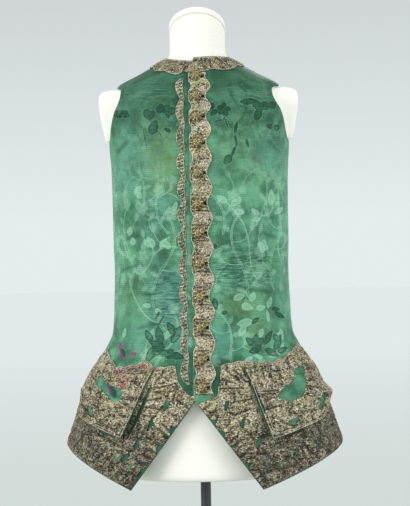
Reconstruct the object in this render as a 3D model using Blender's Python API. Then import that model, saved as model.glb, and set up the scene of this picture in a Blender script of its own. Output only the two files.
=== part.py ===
"""A sleeveless waistcoat of green silk damask trimmed with metal lace, buttoned on a limbless dress form.

Metres, +Z up. The front faces -Y, and the origin is on the floor under the stand's pole.
Left and right are the wearer's: the left front lies over the right one and is at +X.
"""

import math
from collections import namedtuple

import bmesh
import bpy
from mathutils import Vector
from mathutils.geometry import delaunay_2d_cdt

# Thicknesses and clearances
CLOTH = 0.0016  # silk, interlining and lining together
LACE = 0.0014
EASE = 0.0026  # air between the cloth and the form
GAP = 0.0003
SEAM_ANGLE = 0.075  # degrees that each piece stops short of a side or back seam
SHOULDER_SEAM_ANGLE = 0.18

# Heights
NECK_SIDE_HEIGHT = 1.0696
SHOULDER_TIP_HEIGHT = 1.018
ARMHOLE_FOOT_HEIGHT = 0.905
WAIST_HEIGHT = 0.563
BACK_NECK_HEIGHT = 1.0770
BACK_HEM_HEIGHT = 0.336
BACK_VENT_HEIGHT = 0.500

# The closing
OVERLAP = 0.018  # how far each front passes the centre
OVERLAP_FADE = 0.034
OVERLAP_CLEARANCE = 0.0006
FRONT_COLUMNS = 16
STEADY_SHARE = 0.5625
HEM_STRAIGHTNESS = 0.45
BUTTON_X = -0.0045
BUTTON_RADIUS = 0.0102
BUTTON_RISE = 0.0078
BUTTON_CLEARANCE = 0.0008
BUTTON_HEIGHTS = (
    1.0256, 0.9895, 0.9517, 0.9051, 0.8516, 0.7973,
    0.7445, 0.6909, 0.6302, 0.5749, 0.5178, 0.4689,
)
SIDE_SEAM_ANGLE = 93.0

# The dress form and its stand
FORM_FOOT_HEIGHT = 0.296
NECK_TOP_HEIGHT = 1.128
NECK_TOP_SLOPE = 0.50
NECK_HALF_WIDTH = 0.0512
NECK_HALF_DEPTH = 0.0575
CAP_THICKNESS = 0.0120
CAP_LIP = 0.0010
NECK_FOOT_HEIGHT = 1.0635
STUB_CORNER = 0.0035
STUB_REST_ANGLE = 10.0
FORM_STEPS = 6
POLE_RADIUS = 0.0095
POLE_SOCKET_DEPTH = 0.080
BASE_RADIUS = 0.170
BASE_THICKNESS = 0.008
BOSS_RADIUS = 0.022
BOSS_HEIGHT = 0.040

Section = namedtuple(
    "Section",
    "height half_width front_depth back_depth front_curve back_curve back_half_width",
)
# The outer face of the cloth at each height. A curve of 2 is an ellipse, and a lower one is
# pointed at the sides.
BODY = (
    Section(0.260, 0.2600, 0.1340, 0.1380, 1.35, 1.85, 0.2120),
    Section(0.330, 0.2570, 0.1330, 0.1360, 1.36, 1.85, 0.2060),
    Section(0.357, 0.2545, 0.1320, 0.1345, 1.38, 1.86, 0.2030),
    Section(0.396, 0.2420, 0.1300, 0.1310, 1.42, 1.88, 0.1980),
    Section(0.433, 0.2300, 0.1270, 0.1275, 1.47, 1.90, 0.1920),
    Section(0.470, 0.2190, 0.1230, 0.1230, 1.54, 1.92, 0.1850),
    Section(0.496, 0.2060, 0.1200, 0.1190, 1.62, 1.95, 0.1800),
    Section(0.520, 0.1890, 0.1170, 0.1140, 1.75, 1.98, 0.1740),
    Section(0.5405, 0.1770, 0.1145, 0.1090, 1.88, 2.00, 0.1700),
    Section(0.563, 0.1665, 0.1120, 0.1040, 2.00, 2.05, 0.1665),
    Section(0.590, 0.1636, 0.1100, 0.0990, 2.08, 2.10, 0.1636),
    Section(0.620, 0.1625, 0.1095, 0.0955, 2.12, 2.15, 0.1625),
    Section(0.664, 0.1606, 0.1100, 0.0935, 2.16, 2.20, 0.1606),
    Section(0.700, 0.1603, 0.1115, 0.0945, 2.18, 2.20, 0.1603),
    Section(0.750, 0.1605, 0.1140, 0.0985, 2.20, 2.20, 0.1605),
    Section(0.805, 0.1608, 0.1160, 0.1030, 2.22, 2.22, 0.1608),
    Section(0.849, 0.1618, 0.1160, 0.1060, 2.22, 2.22, 0.1618),
    Section(0.880, 0.1640, 0.1140, 0.1065, 2.22, 2.22, 0.1640),
    Section(0.905, 0.1660, 0.1120, 0.1060, 2.20, 2.20, 0.1660),
    Section(0.940, 0.1658, 0.1065, 0.1030, 2.16, 2.16, 0.1658),
    Section(0.970, 0.1635, 0.1000, 0.0980, 2.10, 2.10, 0.1635),
    Section(0.990, 0.1605, 0.0950, 0.0940, 2.00, 2.00, 0.1605),
    Section(1.004, 0.1555, 0.0910, 0.0905, 1.92, 1.92, 0.1555),
    Section(1.018, 0.1480, 0.0862, 0.0862, 1.84, 1.84, 0.1480),
    Section(1.0385, 0.1109, 0.0772, 0.0790, 1.80, 1.80, 0.1109),
    Section(1.0495, 0.0909, 0.0714, 0.0742, 1.84, 1.84, 0.0909),
    Section(1.0600, 0.0719, 0.0650, 0.0690, 1.92, 1.92, 0.0719),
    Section(1.0696, 0.0548, 0.0606, 0.0645, 2.00, 2.00, 0.0548),
    Section(1.0900, 0.0540, 0.0598, 0.0606, 2.00, 2.00, 0.0540),
)

Hip = namedtuple("Hip", "height half_width front_depth back_depth")
# The form's own shape below the waist, where the skirts stand away from it.
HIPS = (
    Hip(0.296, 0.1480, 0.1000, 0.0990),
    Hip(0.340, 0.1590, 0.1060, 0.1080),
    Hip(0.400, 0.1640, 0.1085, 0.1130),
    Hip(0.460, 0.1650, 0.1090, 0.1120),
    Hip(0.520, 0.1640, 0.1085, 0.1050),
    Hip(0.563, 0.1615, 0.1075, 0.0995),
)

FormLevel = namedtuple("FormLevel", "height stub_width")
NO_STUB = None
# The rings of the form. A stub width is how far its flat shoulder stands out past the armhole.
FORM_LEVELS = (
    FormLevel(0.3030, NO_STUB), FormLevel(0.3220, NO_STUB), FormLevel(0.3600, NO_STUB),
    FormLevel(0.4200, NO_STUB), FormLevel(0.4800, NO_STUB), FormLevel(0.5300, NO_STUB),
    FormLevel(0.5640, NO_STUB), FormLevel(0.6000, NO_STUB), FormLevel(0.6500, NO_STUB),
    FormLevel(0.7200, NO_STUB), FormLevel(0.8100, NO_STUB),
    FormLevel(0.8960, NO_STUB), FormLevel(0.9130, NO_STUB), FormLevel(0.9160, 0.1712),
    FormLevel(0.9190, 0.1729), FormLevel(0.9400, 0.1778), FormLevel(0.9640, 0.1822),
    FormLevel(0.9830, 0.1842), FormLevel(0.9950, 0.1842), FormLevel(1.0035, 0.1822),
    FormLevel(1.0078, 0.1770), FormLevel(1.0105, 0.1680), FormLevel(1.0120, 0.1575),
    FormLevel(1.0132, NO_STUB), FormLevel(1.0230, NO_STUB), FormLevel(1.0320, NO_STUB),
    FormLevel(1.0430, NO_STUB), FormLevel(1.0540, NO_STUB),
)

PanelRow = namedtuple("PanelRow", "edge_x edge_height side_x side_height")
AT_SEAM = None  # the row ends at the seam or vent, not at the armhole
LEFT_ARMHOLE_ROWS = (
    PanelRow(-OVERLAP, 1.0065, 0.1385, 1.0110),
    PanelRow(-OVERLAP, 0.9990, 0.1343, 1.0030),
    PanelRow(-OVERLAP, 0.9900, 0.1358, 0.9935),
    PanelRow(-OVERLAP, 0.9800, 0.1415, 0.9820),
    PanelRow(-OVERLAP, 0.9680, 0.1497, 0.9690),
    PanelRow(-OVERLAP, 0.9530, 0.1548, 0.9535),
    PanelRow(-OVERLAP, 0.9350, 0.1582, 0.9350),
    PanelRow(-OVERLAP, 0.9180, 0.1617, 0.9180),
)
RIGHT_ARMHOLE_ROWS = (
    PanelRow(-OVERLAP, 1.0065, 0.1420, 1.0110),
    PanelRow(-OVERLAP, 0.9990, 0.1420, 1.0030),
    PanelRow(-OVERLAP, 0.9900, 0.1435, 0.9935),
    PanelRow(-OVERLAP, 0.9800, 0.1478, 0.9820),
    PanelRow(-OVERLAP, 0.9680, 0.1542, 0.9690),
    PanelRow(-OVERLAP, 0.9530, 0.1590, 0.9535),
    PanelRow(-OVERLAP, 0.9350, 0.1625, 0.9350),
    PanelRow(-OVERLAP, 0.9180, 0.1645, 0.9180),
)
BODY_ROWS = tuple(
    PanelRow(-OVERLAP, height, AT_SEAM, height)
    for height in (ARMHOLE_FOOT_HEIGHT, 0.880, 0.840, 0.790, 0.740, 0.690, 0.650, 0.620, 0.590, WAIST_HEIGHT)
)
LEFT_FRONT_ROWS = (
    PanelRow(-0.0075, 1.0620, AT_SEAM, NECK_SIDE_HEIGHT),
    PanelRow(-0.0095, 1.0530, AT_SEAM, 1.0600),
    PanelRow(-0.0120, 1.0430, AT_SEAM, 1.0495),
    PanelRow(-0.0160, 1.0320, AT_SEAM, 1.0385),
    PanelRow(-OVERLAP, 1.0225, AT_SEAM, 1.0280),
    PanelRow(-OVERLAP, 1.0140, AT_SEAM, SHOULDER_TIP_HEIGHT),
    *LEFT_ARMHOLE_ROWS,
    *BODY_ROWS,
    PanelRow(-OVERLAP, 0.5380, AT_SEAM, 0.5380),
    PanelRow(-0.0185, 0.5080, AT_SEAM, 0.5100),
    PanelRow(-0.0190, 0.4780, AT_SEAM, 0.4820),
    PanelRow(-0.0196, 0.4502, AT_SEAM, 0.4560),
    PanelRow(0.0050, 0.4170, AT_SEAM, 0.4360),
    PanelRow(0.0297, 0.3837, AT_SEAM, 0.4160),
    PanelRow(0.0543, 0.3504, AT_SEAM, 0.3965),
    PanelRow(0.0789, 0.3171, AT_SEAM, 0.3770),
    PanelRow(0.1035, 0.2838, AT_SEAM, 0.3572),
)
RIGHT_FRONT_ROWS = (
    PanelRow(-OVERLAP, 1.0536, AT_SEAM, NECK_SIDE_HEIGHT),
    PanelRow(-OVERLAP, 1.0460, AT_SEAM, 1.0600),
    PanelRow(-OVERLAP, 1.0380, AT_SEAM, 1.0495),
    PanelRow(-OVERLAP, 1.0300, AT_SEAM, 1.0385),
    PanelRow(-OVERLAP, 1.0220, AT_SEAM, 1.0280),
    PanelRow(-OVERLAP, 1.0140, AT_SEAM, SHOULDER_TIP_HEIGHT),
    *RIGHT_ARMHOLE_ROWS,
    *BODY_ROWS,
    PanelRow(-OVERLAP, 0.5380, AT_SEAM, 0.5380),
    PanelRow(-OVERLAP, 0.5140, AT_SEAM, 0.5150),
    PanelRow(-OVERLAP, 0.4905, AT_SEAM, 0.4920),
    PanelRow(0.0126, 0.4489, AT_SEAM, 0.4655),
    PanelRow(0.0431, 0.4073, AT_SEAM, 0.4390),
    PanelRow(0.0737, 0.3656, AT_SEAM, 0.4120),
    PanelRow(0.1036, 0.3257, AT_SEAM, 0.3870),
    PanelRow(0.1340, 0.2850, AT_SEAM, 0.3620),
)

BackRow = namedtuple("BackRow", "centre_height side_x side_height")
BACK_ROWS = (
    BackRow(BACK_NECK_HEIGHT, AT_SEAM, NECK_SIDE_HEIGHT),
    BackRow(1.0670, AT_SEAM, 1.0600),
    BackRow(1.0560, AT_SEAM, 1.0495),
    BackRow(1.0440, AT_SEAM, 1.0385),
    BackRow(1.0320, AT_SEAM, 1.0280),
    BackRow(1.0200, AT_SEAM, SHOULDER_TIP_HEIGHT),
    BackRow(1.0120, 0.1440, 1.0110),
    BackRow(0.9960, 0.1425, 0.9960),
    BackRow(0.9780, 0.1470, 0.9780),
    BackRow(0.9580, 0.1545, 0.9580),
    BackRow(0.9380, 0.1600, 0.9380),
    BackRow(0.9200, 0.1640, 0.9200),
    BackRow(ARMHOLE_FOOT_HEIGHT, AT_SEAM, ARMHOLE_FOOT_HEIGHT),
    BackRow(0.8600, AT_SEAM, 0.8600),
    BackRow(0.8000, AT_SEAM, 0.8000),
    BackRow(0.7400, AT_SEAM, 0.7400),
    BackRow(0.6800, AT_SEAM, 0.6800),
    BackRow(0.6200, AT_SEAM, 0.6200),
    BackRow(WAIST_HEIGHT, AT_SEAM, WAIST_HEIGHT),
    BackRow(BACK_VENT_HEIGHT, AT_SEAM, BACK_VENT_HEIGHT),
    BackRow(0.4450, AT_SEAM, 0.4450),
    BackRow(0.3900, AT_SEAM, 0.3900),
    BackRow(BACK_HEM_HEIGHT, AT_SEAM, BACK_HEM_HEIGHT),
)
BACK_VENT_ANGLE = 4.0  # degrees that each back skirt stands off the centre at the hem
SIDE_VENT_ANGLE = 4.0  # degrees that the front skirt stops before the back one at the hem

Fold = namedtuple("Fold", "x height end_x end_height width rise")
# The largest folds of each front, from the armhole towards the neck, across the waist and down
# the skirt.
LEFT_FOLDS = (
    Fold(0.130, 1.002, 0.045, 1.030, 0.0085, 0.0046),
    Fold(0.134, 0.984, 0.050, 1.004, 0.0090, 0.0042),
    Fold(0.145, 0.962, 0.085, 0.972, 0.0100, 0.0030),
    Fold(0.150, 0.900, 0.152, 0.690, 0.0110, 0.0026),
    Fold(0.085, 0.610, 0.160, 0.560, 0.0120, 0.0034),
    Fold(0.060, 0.560, 0.150, 0.530, 0.0110, 0.0026),
)
RIGHT_FOLDS = (
    Fold(0.136, 1.004, 0.045, 1.034, 0.0085, 0.0044),
    Fold(0.138, 0.986, 0.060, 1.012, 0.0095, 0.0042),
    Fold(0.148, 0.966, 0.100, 0.980, 0.0100, 0.0028),
    Fold(0.153, 0.880, 0.151, 0.680, 0.0110, 0.0024),
    Fold(0.095, 0.620, 0.158, 0.566, 0.0120, 0.0030),
    Fold(0.050, 0.575, 0.140, 0.548, 0.0110, 0.0026),
)

Corner = namedtuple("Corner", "x height")
FLAP_SEAT = 0.0009
FLAP_TOP_LIFT = 0.0024
FLAP_HEM_LIFT = 0.0075
LEFT_FLAP = (
    Corner(0.0703, 0.5020), Corner(0.1164, 0.3720), Corner(0.2040, 0.4020), Corner(0.2190, 0.4640),
)
RIGHT_FLAP = (
    Corner(0.0863, 0.5020), Corner(0.1441, 0.3773), Corner(0.2190, 0.4120), Corner(0.2120, 0.4740),
)
LEFT_FLAP_CORNER_LIFT = 0.0130
RIGHT_FLAP_CORNER_LIFT = 0.0050

# The top line of the lace on each skirt, from the closing to the side
LEFT_SKIRT_TOP = (
    Corner(0.0303, 0.5050), Corner(0.0500, 0.5100), Corner(0.0706, 0.5130), Corner(0.0972, 0.5085),
    Corner(0.1245, 0.5085), Corner(0.1436, 0.5140), Corner(0.1600, 0.5263), Corner(0.1720, 0.5400),
)
RIGHT_SKIRT_TOP = (
    Corner(0.0603, 0.5100), Corner(0.0870, 0.5030), Corner(0.1025, 0.5170), Corner(0.1190, 0.5080),
    Corner(0.1410, 0.5035), Corner(0.1566, 0.5030), Corner(0.1680, 0.5180), Corner(0.1745, 0.5340),
)
# Where the lace's inner edge runs down to the cut-away front
LEFT_SKIRT_INNER = (Corner(0.0270, 0.4700), Corner(0.0240, 0.4520))
RIGHT_SKIRT_INNER = (Corner(0.0520, 0.4700), Corner(0.0360, 0.4520))

Opening = namedtuple("Opening", "x height half_width half_height lean")
# The leaf-shaped gaps in the lace where the silk shows. Lean is in degrees from upright.
LEFT_SKIRT_OPENINGS = (
    Opening(0.0395, 0.4350, 0.0042, 0.0105, -15), Opening(0.0675, 0.4040, 0.0042, 0.0100, -20),
    Opening(0.0950, 0.3680, 0.0045, 0.0110, -25), Opening(0.1590, 0.3440, 0.0070, 0.0045, -15),
    Opening(0.1270, 0.3300, 0.0060, 0.0040, -15),
)
RIGHT_SKIRT_OPENINGS = (
    Opening(0.0680, 0.4350, 0.0042, 0.0125, 20), Opening(0.0960, 0.4010, 0.0042, 0.0125, 22),
    Opening(0.1205, 0.3675, 0.0042, 0.0120, 25), Opening(0.1430, 0.3410, 0.0052, 0.0095, 30),
    Opening(0.2000, 0.3560, 0.0100, 0.0050, -25),
)
LEFT_FLAP_OPENINGS = (
    Opening(0.1700, 0.4800, 0.0088, 0.0170, -28), Opening(0.1450, 0.4560, 0.0160, 0.0085, 20),
)
RIGHT_FLAP_OPENINGS = (
    Opening(0.1880, 0.4770, 0.0070, 0.0150, 12), Opening(0.1610, 0.4560, 0.0150, 0.0080, -52),
)
FLAP_SLOT = Opening(0.2030, 0.4330, 0.0040, 0.0150, 0)

FRONT_LACE_CENTRE = 0.0000
FRONT_LACE_HALF_WIDTH = 0.0172
FRONT_LACE_WAVE = 0.0045
FRONT_LACE_CROWN = 0.0024
FRONT_LACE_HEAD = 1.0322
FRONT_LACE_FOOT = 0.4560
LACE_SIDE_ANGLE = 86.0
SLIM_LACE_INNER = 0.0245
SLIM_LACE_WIDTH = 0.0080
SLIM_LACE_SCALLOP = 0.0085
SLIM_LACE_PITCH = 0.0465
NECK_LACE_FRONT = 0.0255
NECK_LACE_SIDE = 0.0125
EDGE_MARGIN = 0.0016  # the silk that shows past the lace
FRONT_MARGIN = 0.0035


def table_curve(rows, column):
    """A smooth, monotone curve through one column of a table against its height."""
    heights = [row.height for row in rows]
    values = [getattr(row, column) for row in rows]
    steps = [
        (values[i + 1] - values[i]) / (heights[i + 1] - heights[i]) for i in range(len(rows) - 1)
    ]
    inner = [0.0 if a * b <= 0 else 2 * a * b / (a + b) for a, b in zip(steps, steps[1:])]
    slopes = [steps[0], *inner, steps[-1]]

    def at(height):
        height = min(max(height, heights[0]), heights[-1])
        i = max(k for k in range(len(rows) - 1) if heights[k] <= height)
        span = heights[i + 1] - heights[i]
        t = (height - heights[i]) / span
        return (
            values[i] * (1 + 2 * t) * (1 - t) ** 2
            + slopes[i] * span * t * (1 - t) ** 2
            + values[i + 1] * t * t * (3 - 2 * t)
            + slopes[i + 1] * span * t * t * (t - 1)
        )

    return at


BODY_CURVES = {name: table_curve(BODY, name) for name in Section._fields[1:]}
HIP_CURVES = {name: table_curve(HIPS, name) for name in Hip._fields[1:]}


def ease(share):
    """0 to 1 with level ends."""
    share = min(max(share, 0.0), 1.0)
    return share * share * (3 - 2 * share)


def mix(a, b, share):
    return a + (b - a) * share


def body_point(angle, height, back=False):
    """The cloth's outer face. Angle 0 is the front, 90 the left side and 180 the back."""
    turn = math.radians(angle)
    ahead = math.cos(turn)
    width = BODY_CURVES["back_half_width" if back else "half_width"](height)
    if ahead >= 0:
        depth = -BODY_CURVES["front_depth"](height) * ahead ** (2 / BODY_CURVES["front_curve"](height))
    else:
        depth = BODY_CURVES["back_depth"](height) * (-ahead) ** (2 / BODY_CURVES["back_curve"](height))
    return Vector((width * math.sin(turn), depth, height))


def body_normal(angle, height, back=False):
    across = body_point(angle + 1, height, back) - body_point(angle - 1, height, back)
    up = body_point(angle, height + 0.002, back) - body_point(angle, height - 0.002, back)
    return across.cross(up).normalized()


def angle_at(x, height):
    """The angle where the front's surface is x from the centre, seen from the front."""
    return math.degrees(math.asin(min(max(x / BODY_CURVES["half_width"](height), -1.0), 1.0)))


def fold_rise(folds, x, height):
    """How far the folds lift the cloth there: each is a soft ridge along its line."""
    rise = 0.0
    for fold in folds:
        along = (fold.end_x - fold.x, fold.end_height - fold.height)
        length = math.hypot(*along)
        share = ((x - fold.x) * along[0] + (height - fold.height) * along[1]) / length**2
        nearest = min(max(share, 0.0), 1.0)
        away = math.hypot(
            x - fold.x - nearest * along[0], height - fold.height - nearest * along[1]
        )
        ends = ease(min(nearest, 1 - nearest) / 0.25 + 0.15)
        rise += fold.rise * ends * math.exp(-((away / fold.width) ** 2))
    return rise


def front_point(side, angle, height, offset=0.0):
    """A point on a front, moved out by offset. Side is 1 for the left front and -1 for the right.

    Angles grow from the centre towards the front's own side seam.
    """
    x = BODY_CURVES["half_width"](height) * math.sin(math.radians(angle))
    lift = fold_rise(LEFT_FOLDS if side > 0 else RIGHT_FOLDS, x, height)
    if side > 0:
        over = ease((OVERLAP + OVERLAP_FADE - x) / OVERLAP_FADE) * ease((height - 0.400) / 0.045)
        lift += (CLOTH + OVERLAP_CLEARANCE) * over
    point = body_point(angle, height) + body_normal(angle, height) * (lift + offset)
    return Vector((side * point.x, point.y, point.z))


def front_normal(side, angle, height):
    normal = body_normal(angle, height)
    return Vector((side * normal.x, normal.y, normal.z))


def back_point(side, angle, height, offset=0.0):
    point = body_point(angle, height, back=True)
    point += body_normal(angle, height, back=True) * offset
    return Vector((side * point.x, point.y, point.z))


def material(name, colour, roughness, metallic=0.0):
    made = bpy.data.materials.new(name)
    made.use_nodes = True
    shader = made.node_tree.nodes["Principled BSDF"]
    shader.inputs["Base Color"].default_value = (*colour, 1.0)
    shader.inputs["Roughness"].default_value = roughness
    shader.inputs["Metallic"].default_value = metallic
    made.diffuse_color = (*colour, 1.0)
    return made


def make_object(name, points, faces, finish):
    """A closed mesh with its faces pointing out."""
    mesh = bpy.data.meshes.new(name)
    mesh.from_pydata([tuple(point) for point in points], [], faces)
    shape = bmesh.new()
    shape.from_mesh(mesh)
    bmesh.ops.recalc_face_normals(shape, faces=shape.faces)
    if shape.calc_volume(signed=True) < 0:
        bmesh.ops.reverse_faces(shape, faces=shape.faces)
    shape.to_mesh(mesh)
    shape.free()
    mesh.shade_smooth()
    mesh.set_sharp_from_angle(angle=math.radians(40))
    mesh.materials.append(finish)
    made = bpy.data.objects.new(name, mesh)
    bpy.context.scene.collection.objects.link(made)
    return made


Surface = namedtuple("Surface", "flat triangles points normals")
ARC = 0.0028  # metres along the cloth for each degree, to lay a front's angles out flat


def between_faces(name, outer, inner, triangles, finish):
    """A wall between two sets of points that share the same triangles."""
    count = len(outer)
    sides = {(a, b) for face in triangles for a, b in zip(face, face[1:] + face[:1])}
    walls = [(b, a, count + a, count + b) for a, b in sorted(sides) if (b, a) not in sides]
    lower = [tuple(count + i for i in reversed(face)) for face in triangles]
    return make_object(name, list(outer) + list(inner), list(triangles) + lower + walls, finish)


def grid_triangles(rows, columns):
    """Triangles of a grid of points, each square cut along the same diagonal."""
    triangles = []
    for r in range(rows - 1):
        for c in range(columns - 1):
            a, b = r * columns + c, r * columns + c + 1
            d, e = a + columns, b + columns
            triangles += [(a, b, e), (a, e, d)]
    return triangles


def cloth_solid(name, outer, inner, finish):
    """A wall between two grids of points, given as rows."""
    triangles = grid_triangles(len(outer), len(outer[0]))
    flat_outer = [p for row in outer for p in row]
    flat_inner = [p for row in inner for p in row]
    return between_faces(name, flat_outer, flat_inner, triangles, finish)


def shares_in(x, y, corners):
    """The weights of a triangle's corners at a flat point."""
    (ax, ay), (bx, by), (cx, cy) = corners
    area = (by - cy) * (ax - cx) + (cx - bx) * (ay - cy)
    if abs(area) < 1e-14:
        return (-9.0, -9.0, -9.0)
    first = ((by - cy) * (x - cx) + (cx - bx) * (y - cy)) / area
    second = ((cy - ay) * (x - cx) + (ax - cx) * (y - cy)) / area
    return (first, second, 1 - first - second)


def surface_at(surface, x, y):
    """The point and normal of a surface's facets at a flat point."""
    best, chosen = None, -9.0
    for face in surface.triangles:
        corners = [surface.flat[i] for i in face]
        if min(c[1] for c in corners) - 0.02 > y or max(c[1] for c in corners) + 0.02 < y:
            continue
        shares = shares_in(x, y, corners)
        if min(shares) > chosen:
            best, chosen = (face, shares), min(shares)
        if chosen >= 0:
            break
    face, shares = best
    point = sum((surface.points[i] * share for i, share in zip(face, shares)), Vector())
    normal = sum((surface.normals[i] * share for i, share in zip(face, shares)), Vector())
    return point, normal.normalized()


def vent_share(height):
    """0 at the waist and above, 1 at the hem."""
    return ease((WAIST_HEIGHT - height) / (WAIST_HEIGHT - BACK_HEM_HEIGHT))


def row_height(edge_height, side_height, angle, edge, side):
    """The height along a row. Below the waist the rows run straighter, as the hem does."""
    share = (angle - edge) / (side - edge)
    if edge_height < WAIST_HEIGHT:
        turn, first, last = (math.sin(math.radians(a)) for a in (angle, edge, side))
        share = mix(share, min((turn - first) / (last - first), 1.0), HEM_STRAIGHTNESS)
    return mix(edge_height, side_height, share)


def front_side_angle(row):
    """Where a front's row ends: at the armhole, the shoulder seam, the side seam or the vent."""
    if row.side_x is not AT_SEAM:
        return angle_at(row.side_x, row.side_height)
    if row.side_height >= SHOULDER_TIP_HEIGHT:
        return 90.0 - SHOULDER_SEAM_ANGLE
    return SIDE_SEAM_ANGLE - SEAM_ANGLE - SIDE_VENT_ANGLE * vent_share(row.side_height)


def front_grid(rows, columns):
    """(angle, height) for each point of a front, row by row from the neck to the hem.

    The columns keep their angles past the armhole, and only those beside it draw together.
    """
    grid = []
    for row in rows:
        edge = angle_at(row.edge_x, row.edge_height)
        side = front_side_angle(row)
        full = SIDE_SEAM_ANGLE if row.edge_height > ARMHOLE_FOOT_HEIGHT else side
        line = []
        for c in range(columns + 1):
            share = c / columns
            if share <= STEADY_SHARE:
                angle = mix(edge, full, share)
            else:
                steady = mix(edge, full, STEADY_SHARE)
                angle = mix(steady, side, (share - STEADY_SHARE) / (1 - STEADY_SHARE))
            line.append((angle, row_height(row.edge_height, row.side_height, angle, edge, side)))
        grid.append(line)
    return grid


def front_panel(name, side, rows, finish):
    """The panel, and its outer face for what lies on it."""
    grid = front_grid(rows, FRONT_COLUMNS)
    outer = [[front_point(side, *spot) for spot in row] for row in grid]
    inner = [[front_point(side, *spot, offset=-CLOTH) for spot in row] for row in grid]
    cloth_solid(name, outer, inner, finish)
    spots = [spot for row in grid for spot in row]
    normals = [front_normal(side, *spot) for spot in spots]
    return Surface(
        [(angle * ARC, height) for angle, height in spots],
        grid_triangles(len(grid), FRONT_COLUMNS + 1),
        [point for row in outer for point in row],
        normals,
    )


def back_panel(name, side, finish):
    columns = 9
    grid = []
    for row in BACK_ROWS:
        centre = 180.0 - SEAM_ANGLE
        centre -= BACK_VENT_ANGLE * ease((BACK_VENT_HEIGHT - row.centre_height) / 0.16)
        if row.side_x is not AT_SEAM:
            seam = 180.0 - angle_at(row.side_x, row.side_height)
        elif row.side_height >= SHOULDER_TIP_HEIGHT:
            seam = 90.0 + SHOULDER_SEAM_ANGLE
        else:
            seam = SIDE_SEAM_ANGLE + SEAM_ANGLE
        grid.append(
            [
                (mix(seam, centre, c / columns), mix(row.side_height, row.centre_height, c / columns))
                for c in range(columns + 1)
            ]
        )
    outer = [[back_point(side, *spot) for spot in row] for row in grid]
    inner = [[back_point(side, *spot, offset=-CLOTH) for spot in row] for row in grid]
    return cloth_solid(name, outer, inner, finish)


def inside(x, y, loop):
    """Whether a flat point lies inside a closed line."""
    found = False
    for (ax, ay), (bx, by) in zip(loop, loop[1:] + loop[:1]):
        if (ay > y) != (by > y) and x < (bx - ax) * (y - ay) / (by - ay) + ax:
            found = not found
    return found


def nearest_edge(x, y, loop):
    best = 1.0
    for (ax, ay), (bx, by) in zip(loop, loop[1:] + loop[:1]):
        length = (bx - ax) ** 2 + (by - ay) ** 2
        share = min(max(((x - ax) * (bx - ax) + (y - ay) * (by - ay)) / max(length, 1e-12), 0), 1)
        best = min(best, math.hypot(x - ax - share * (bx - ax), y - ay - share * (by - ay)))
    return best


def laid_out(line):
    """A line of (x, height) seen from the front, as flat points of a front's surface."""
    return [(angle_at(x, height) * ARC, height) for x, height in line]


def applied_solid(name, surface, outline, holes, lift, thickness, finish, inner=()):
    """A cut shape laid on a surface, from that surface's own facets moved out.

    Outline and holes are loops of flat points, and inner holds loose points between them. lift(x, y)
    is how far the underside is off the surface. It returns the shape's own outer face, for what lies on it in turn.
    """
    loops = (outline, *holes)
    lowest, highest = min(p[1] for p in outline), max(p[1] for p in outline)
    near, far = min(p[0] for p in outline), max(p[0] for p in outline)
    points, edges = [], []
    for loop in loops:
        start = len(points)
        points += [Vector(spot) for spot in loop]
        edges += [(start + i, start + (i + 1) % len(loop)) for i in range(len(loop))]
    points += [Vector(spot) for spot in inner]
    place = {}
    for face in surface.triangles:
        corners = [surface.flat[i] for i in face]
        if max(c[1] for c in corners) < lowest or min(c[1] for c in corners) > highest:
            continue
        if max(c[0] for c in corners) < near or min(c[0] for c in corners) > far:
            continue
        for i in face:
            if i not in place:
                place[i] = len(points)
                points.append(Vector(surface.flat[i]))
        edges += [(place[a], place[b]) for a, b in zip(face, face[1:] + face[:1])]
    flat, _, triangles, *_ = delaunay_2d_cdt(points, edges, [], 0, 1.5e-4)
    kept = []
    for triangle in triangles:
        x = sum(flat[i].x for i in triangle) / 3
        y = sum(flat[i].y for i in triangle) / 3
        if inside(x, y, outline) and not any(inside(x, y, hole) for hole in holes):
            kept.append(tuple(triangle))
    used = sorted({i for triangle in kept for i in triangle})
    order = {old: new for new, old in enumerate(used)}
    faces = [tuple(order[i] for i in triangle) for triangle in kept]
    top, under, normals = [], [], []
    for i in used:
        point, normal = surface_at(surface, flat[i].x, flat[i].y)
        rise = lift(flat[i].x, flat[i].y)
        under.append(point + normal * rise)
        top.append(point + normal * (rise + thickness(flat[i].x, flat[i].y)))
        normals.append(normal)
    between_faces(name, top, under, faces, finish)
    return Surface([(flat[i].x, flat[i].y) for i in used], faces, top, normals)


def even(thickness):
    return lambda x, y: thickness


def close_lift(x, y):
    return GAP


def leaf(opening):
    """The outline of a leaf-shaped gap, pointed at both ends."""
    lean = math.radians(opening.lean)
    loop = []
    for k in range(8):
        turn = math.tau * k / 8
        across = opening.half_width * math.sin(turn)
        along = opening.half_height * math.cos(turn)
        loop.append(
            (
                opening.x + across * math.cos(lean) - along * math.sin(lean),
                opening.height + along * math.cos(lean) + across * math.sin(lean),
            )
        )
    return loop


def scalloped(line, pitch, depth):
    """A line of corners as rounded scallops that rise by depth between its points."""
    made = []
    for first, second in zip(line, line[1:]):
        length = math.hypot(second.x - first.x, second.height - first.height)
        count = max(1, round(length / pitch))
        for k in range(3 * count):
            share = k / (3 * count)
            rise = depth * abs(math.sin(math.pi * share * count))
            made.append((mix(first.x, second.x, share), mix(first.height, second.height, share) + rise))
    made.append((line[-1].x, line[-1].height))
    return made


def hem_line(rows, steps):
    """The hem of a front as (x, height), from the side to the cut-away edge."""
    last = rows[-1]
    edge = angle_at(last.edge_x, last.edge_height)
    line = []
    for k in range(steps + 1):
        angle = mix(LACE_SIDE_ANGLE, edge, k / steps)
        height = row_height(
            last.edge_height, last.side_height, angle, edge, front_side_angle(last)
        )
        line.append((BODY_CURVES["half_width"](height) * math.sin(math.radians(angle)), height))
    return line


def inset(line, along_x, along_height):
    return [(x + along_x, height + along_height) for x, height in line]


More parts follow.
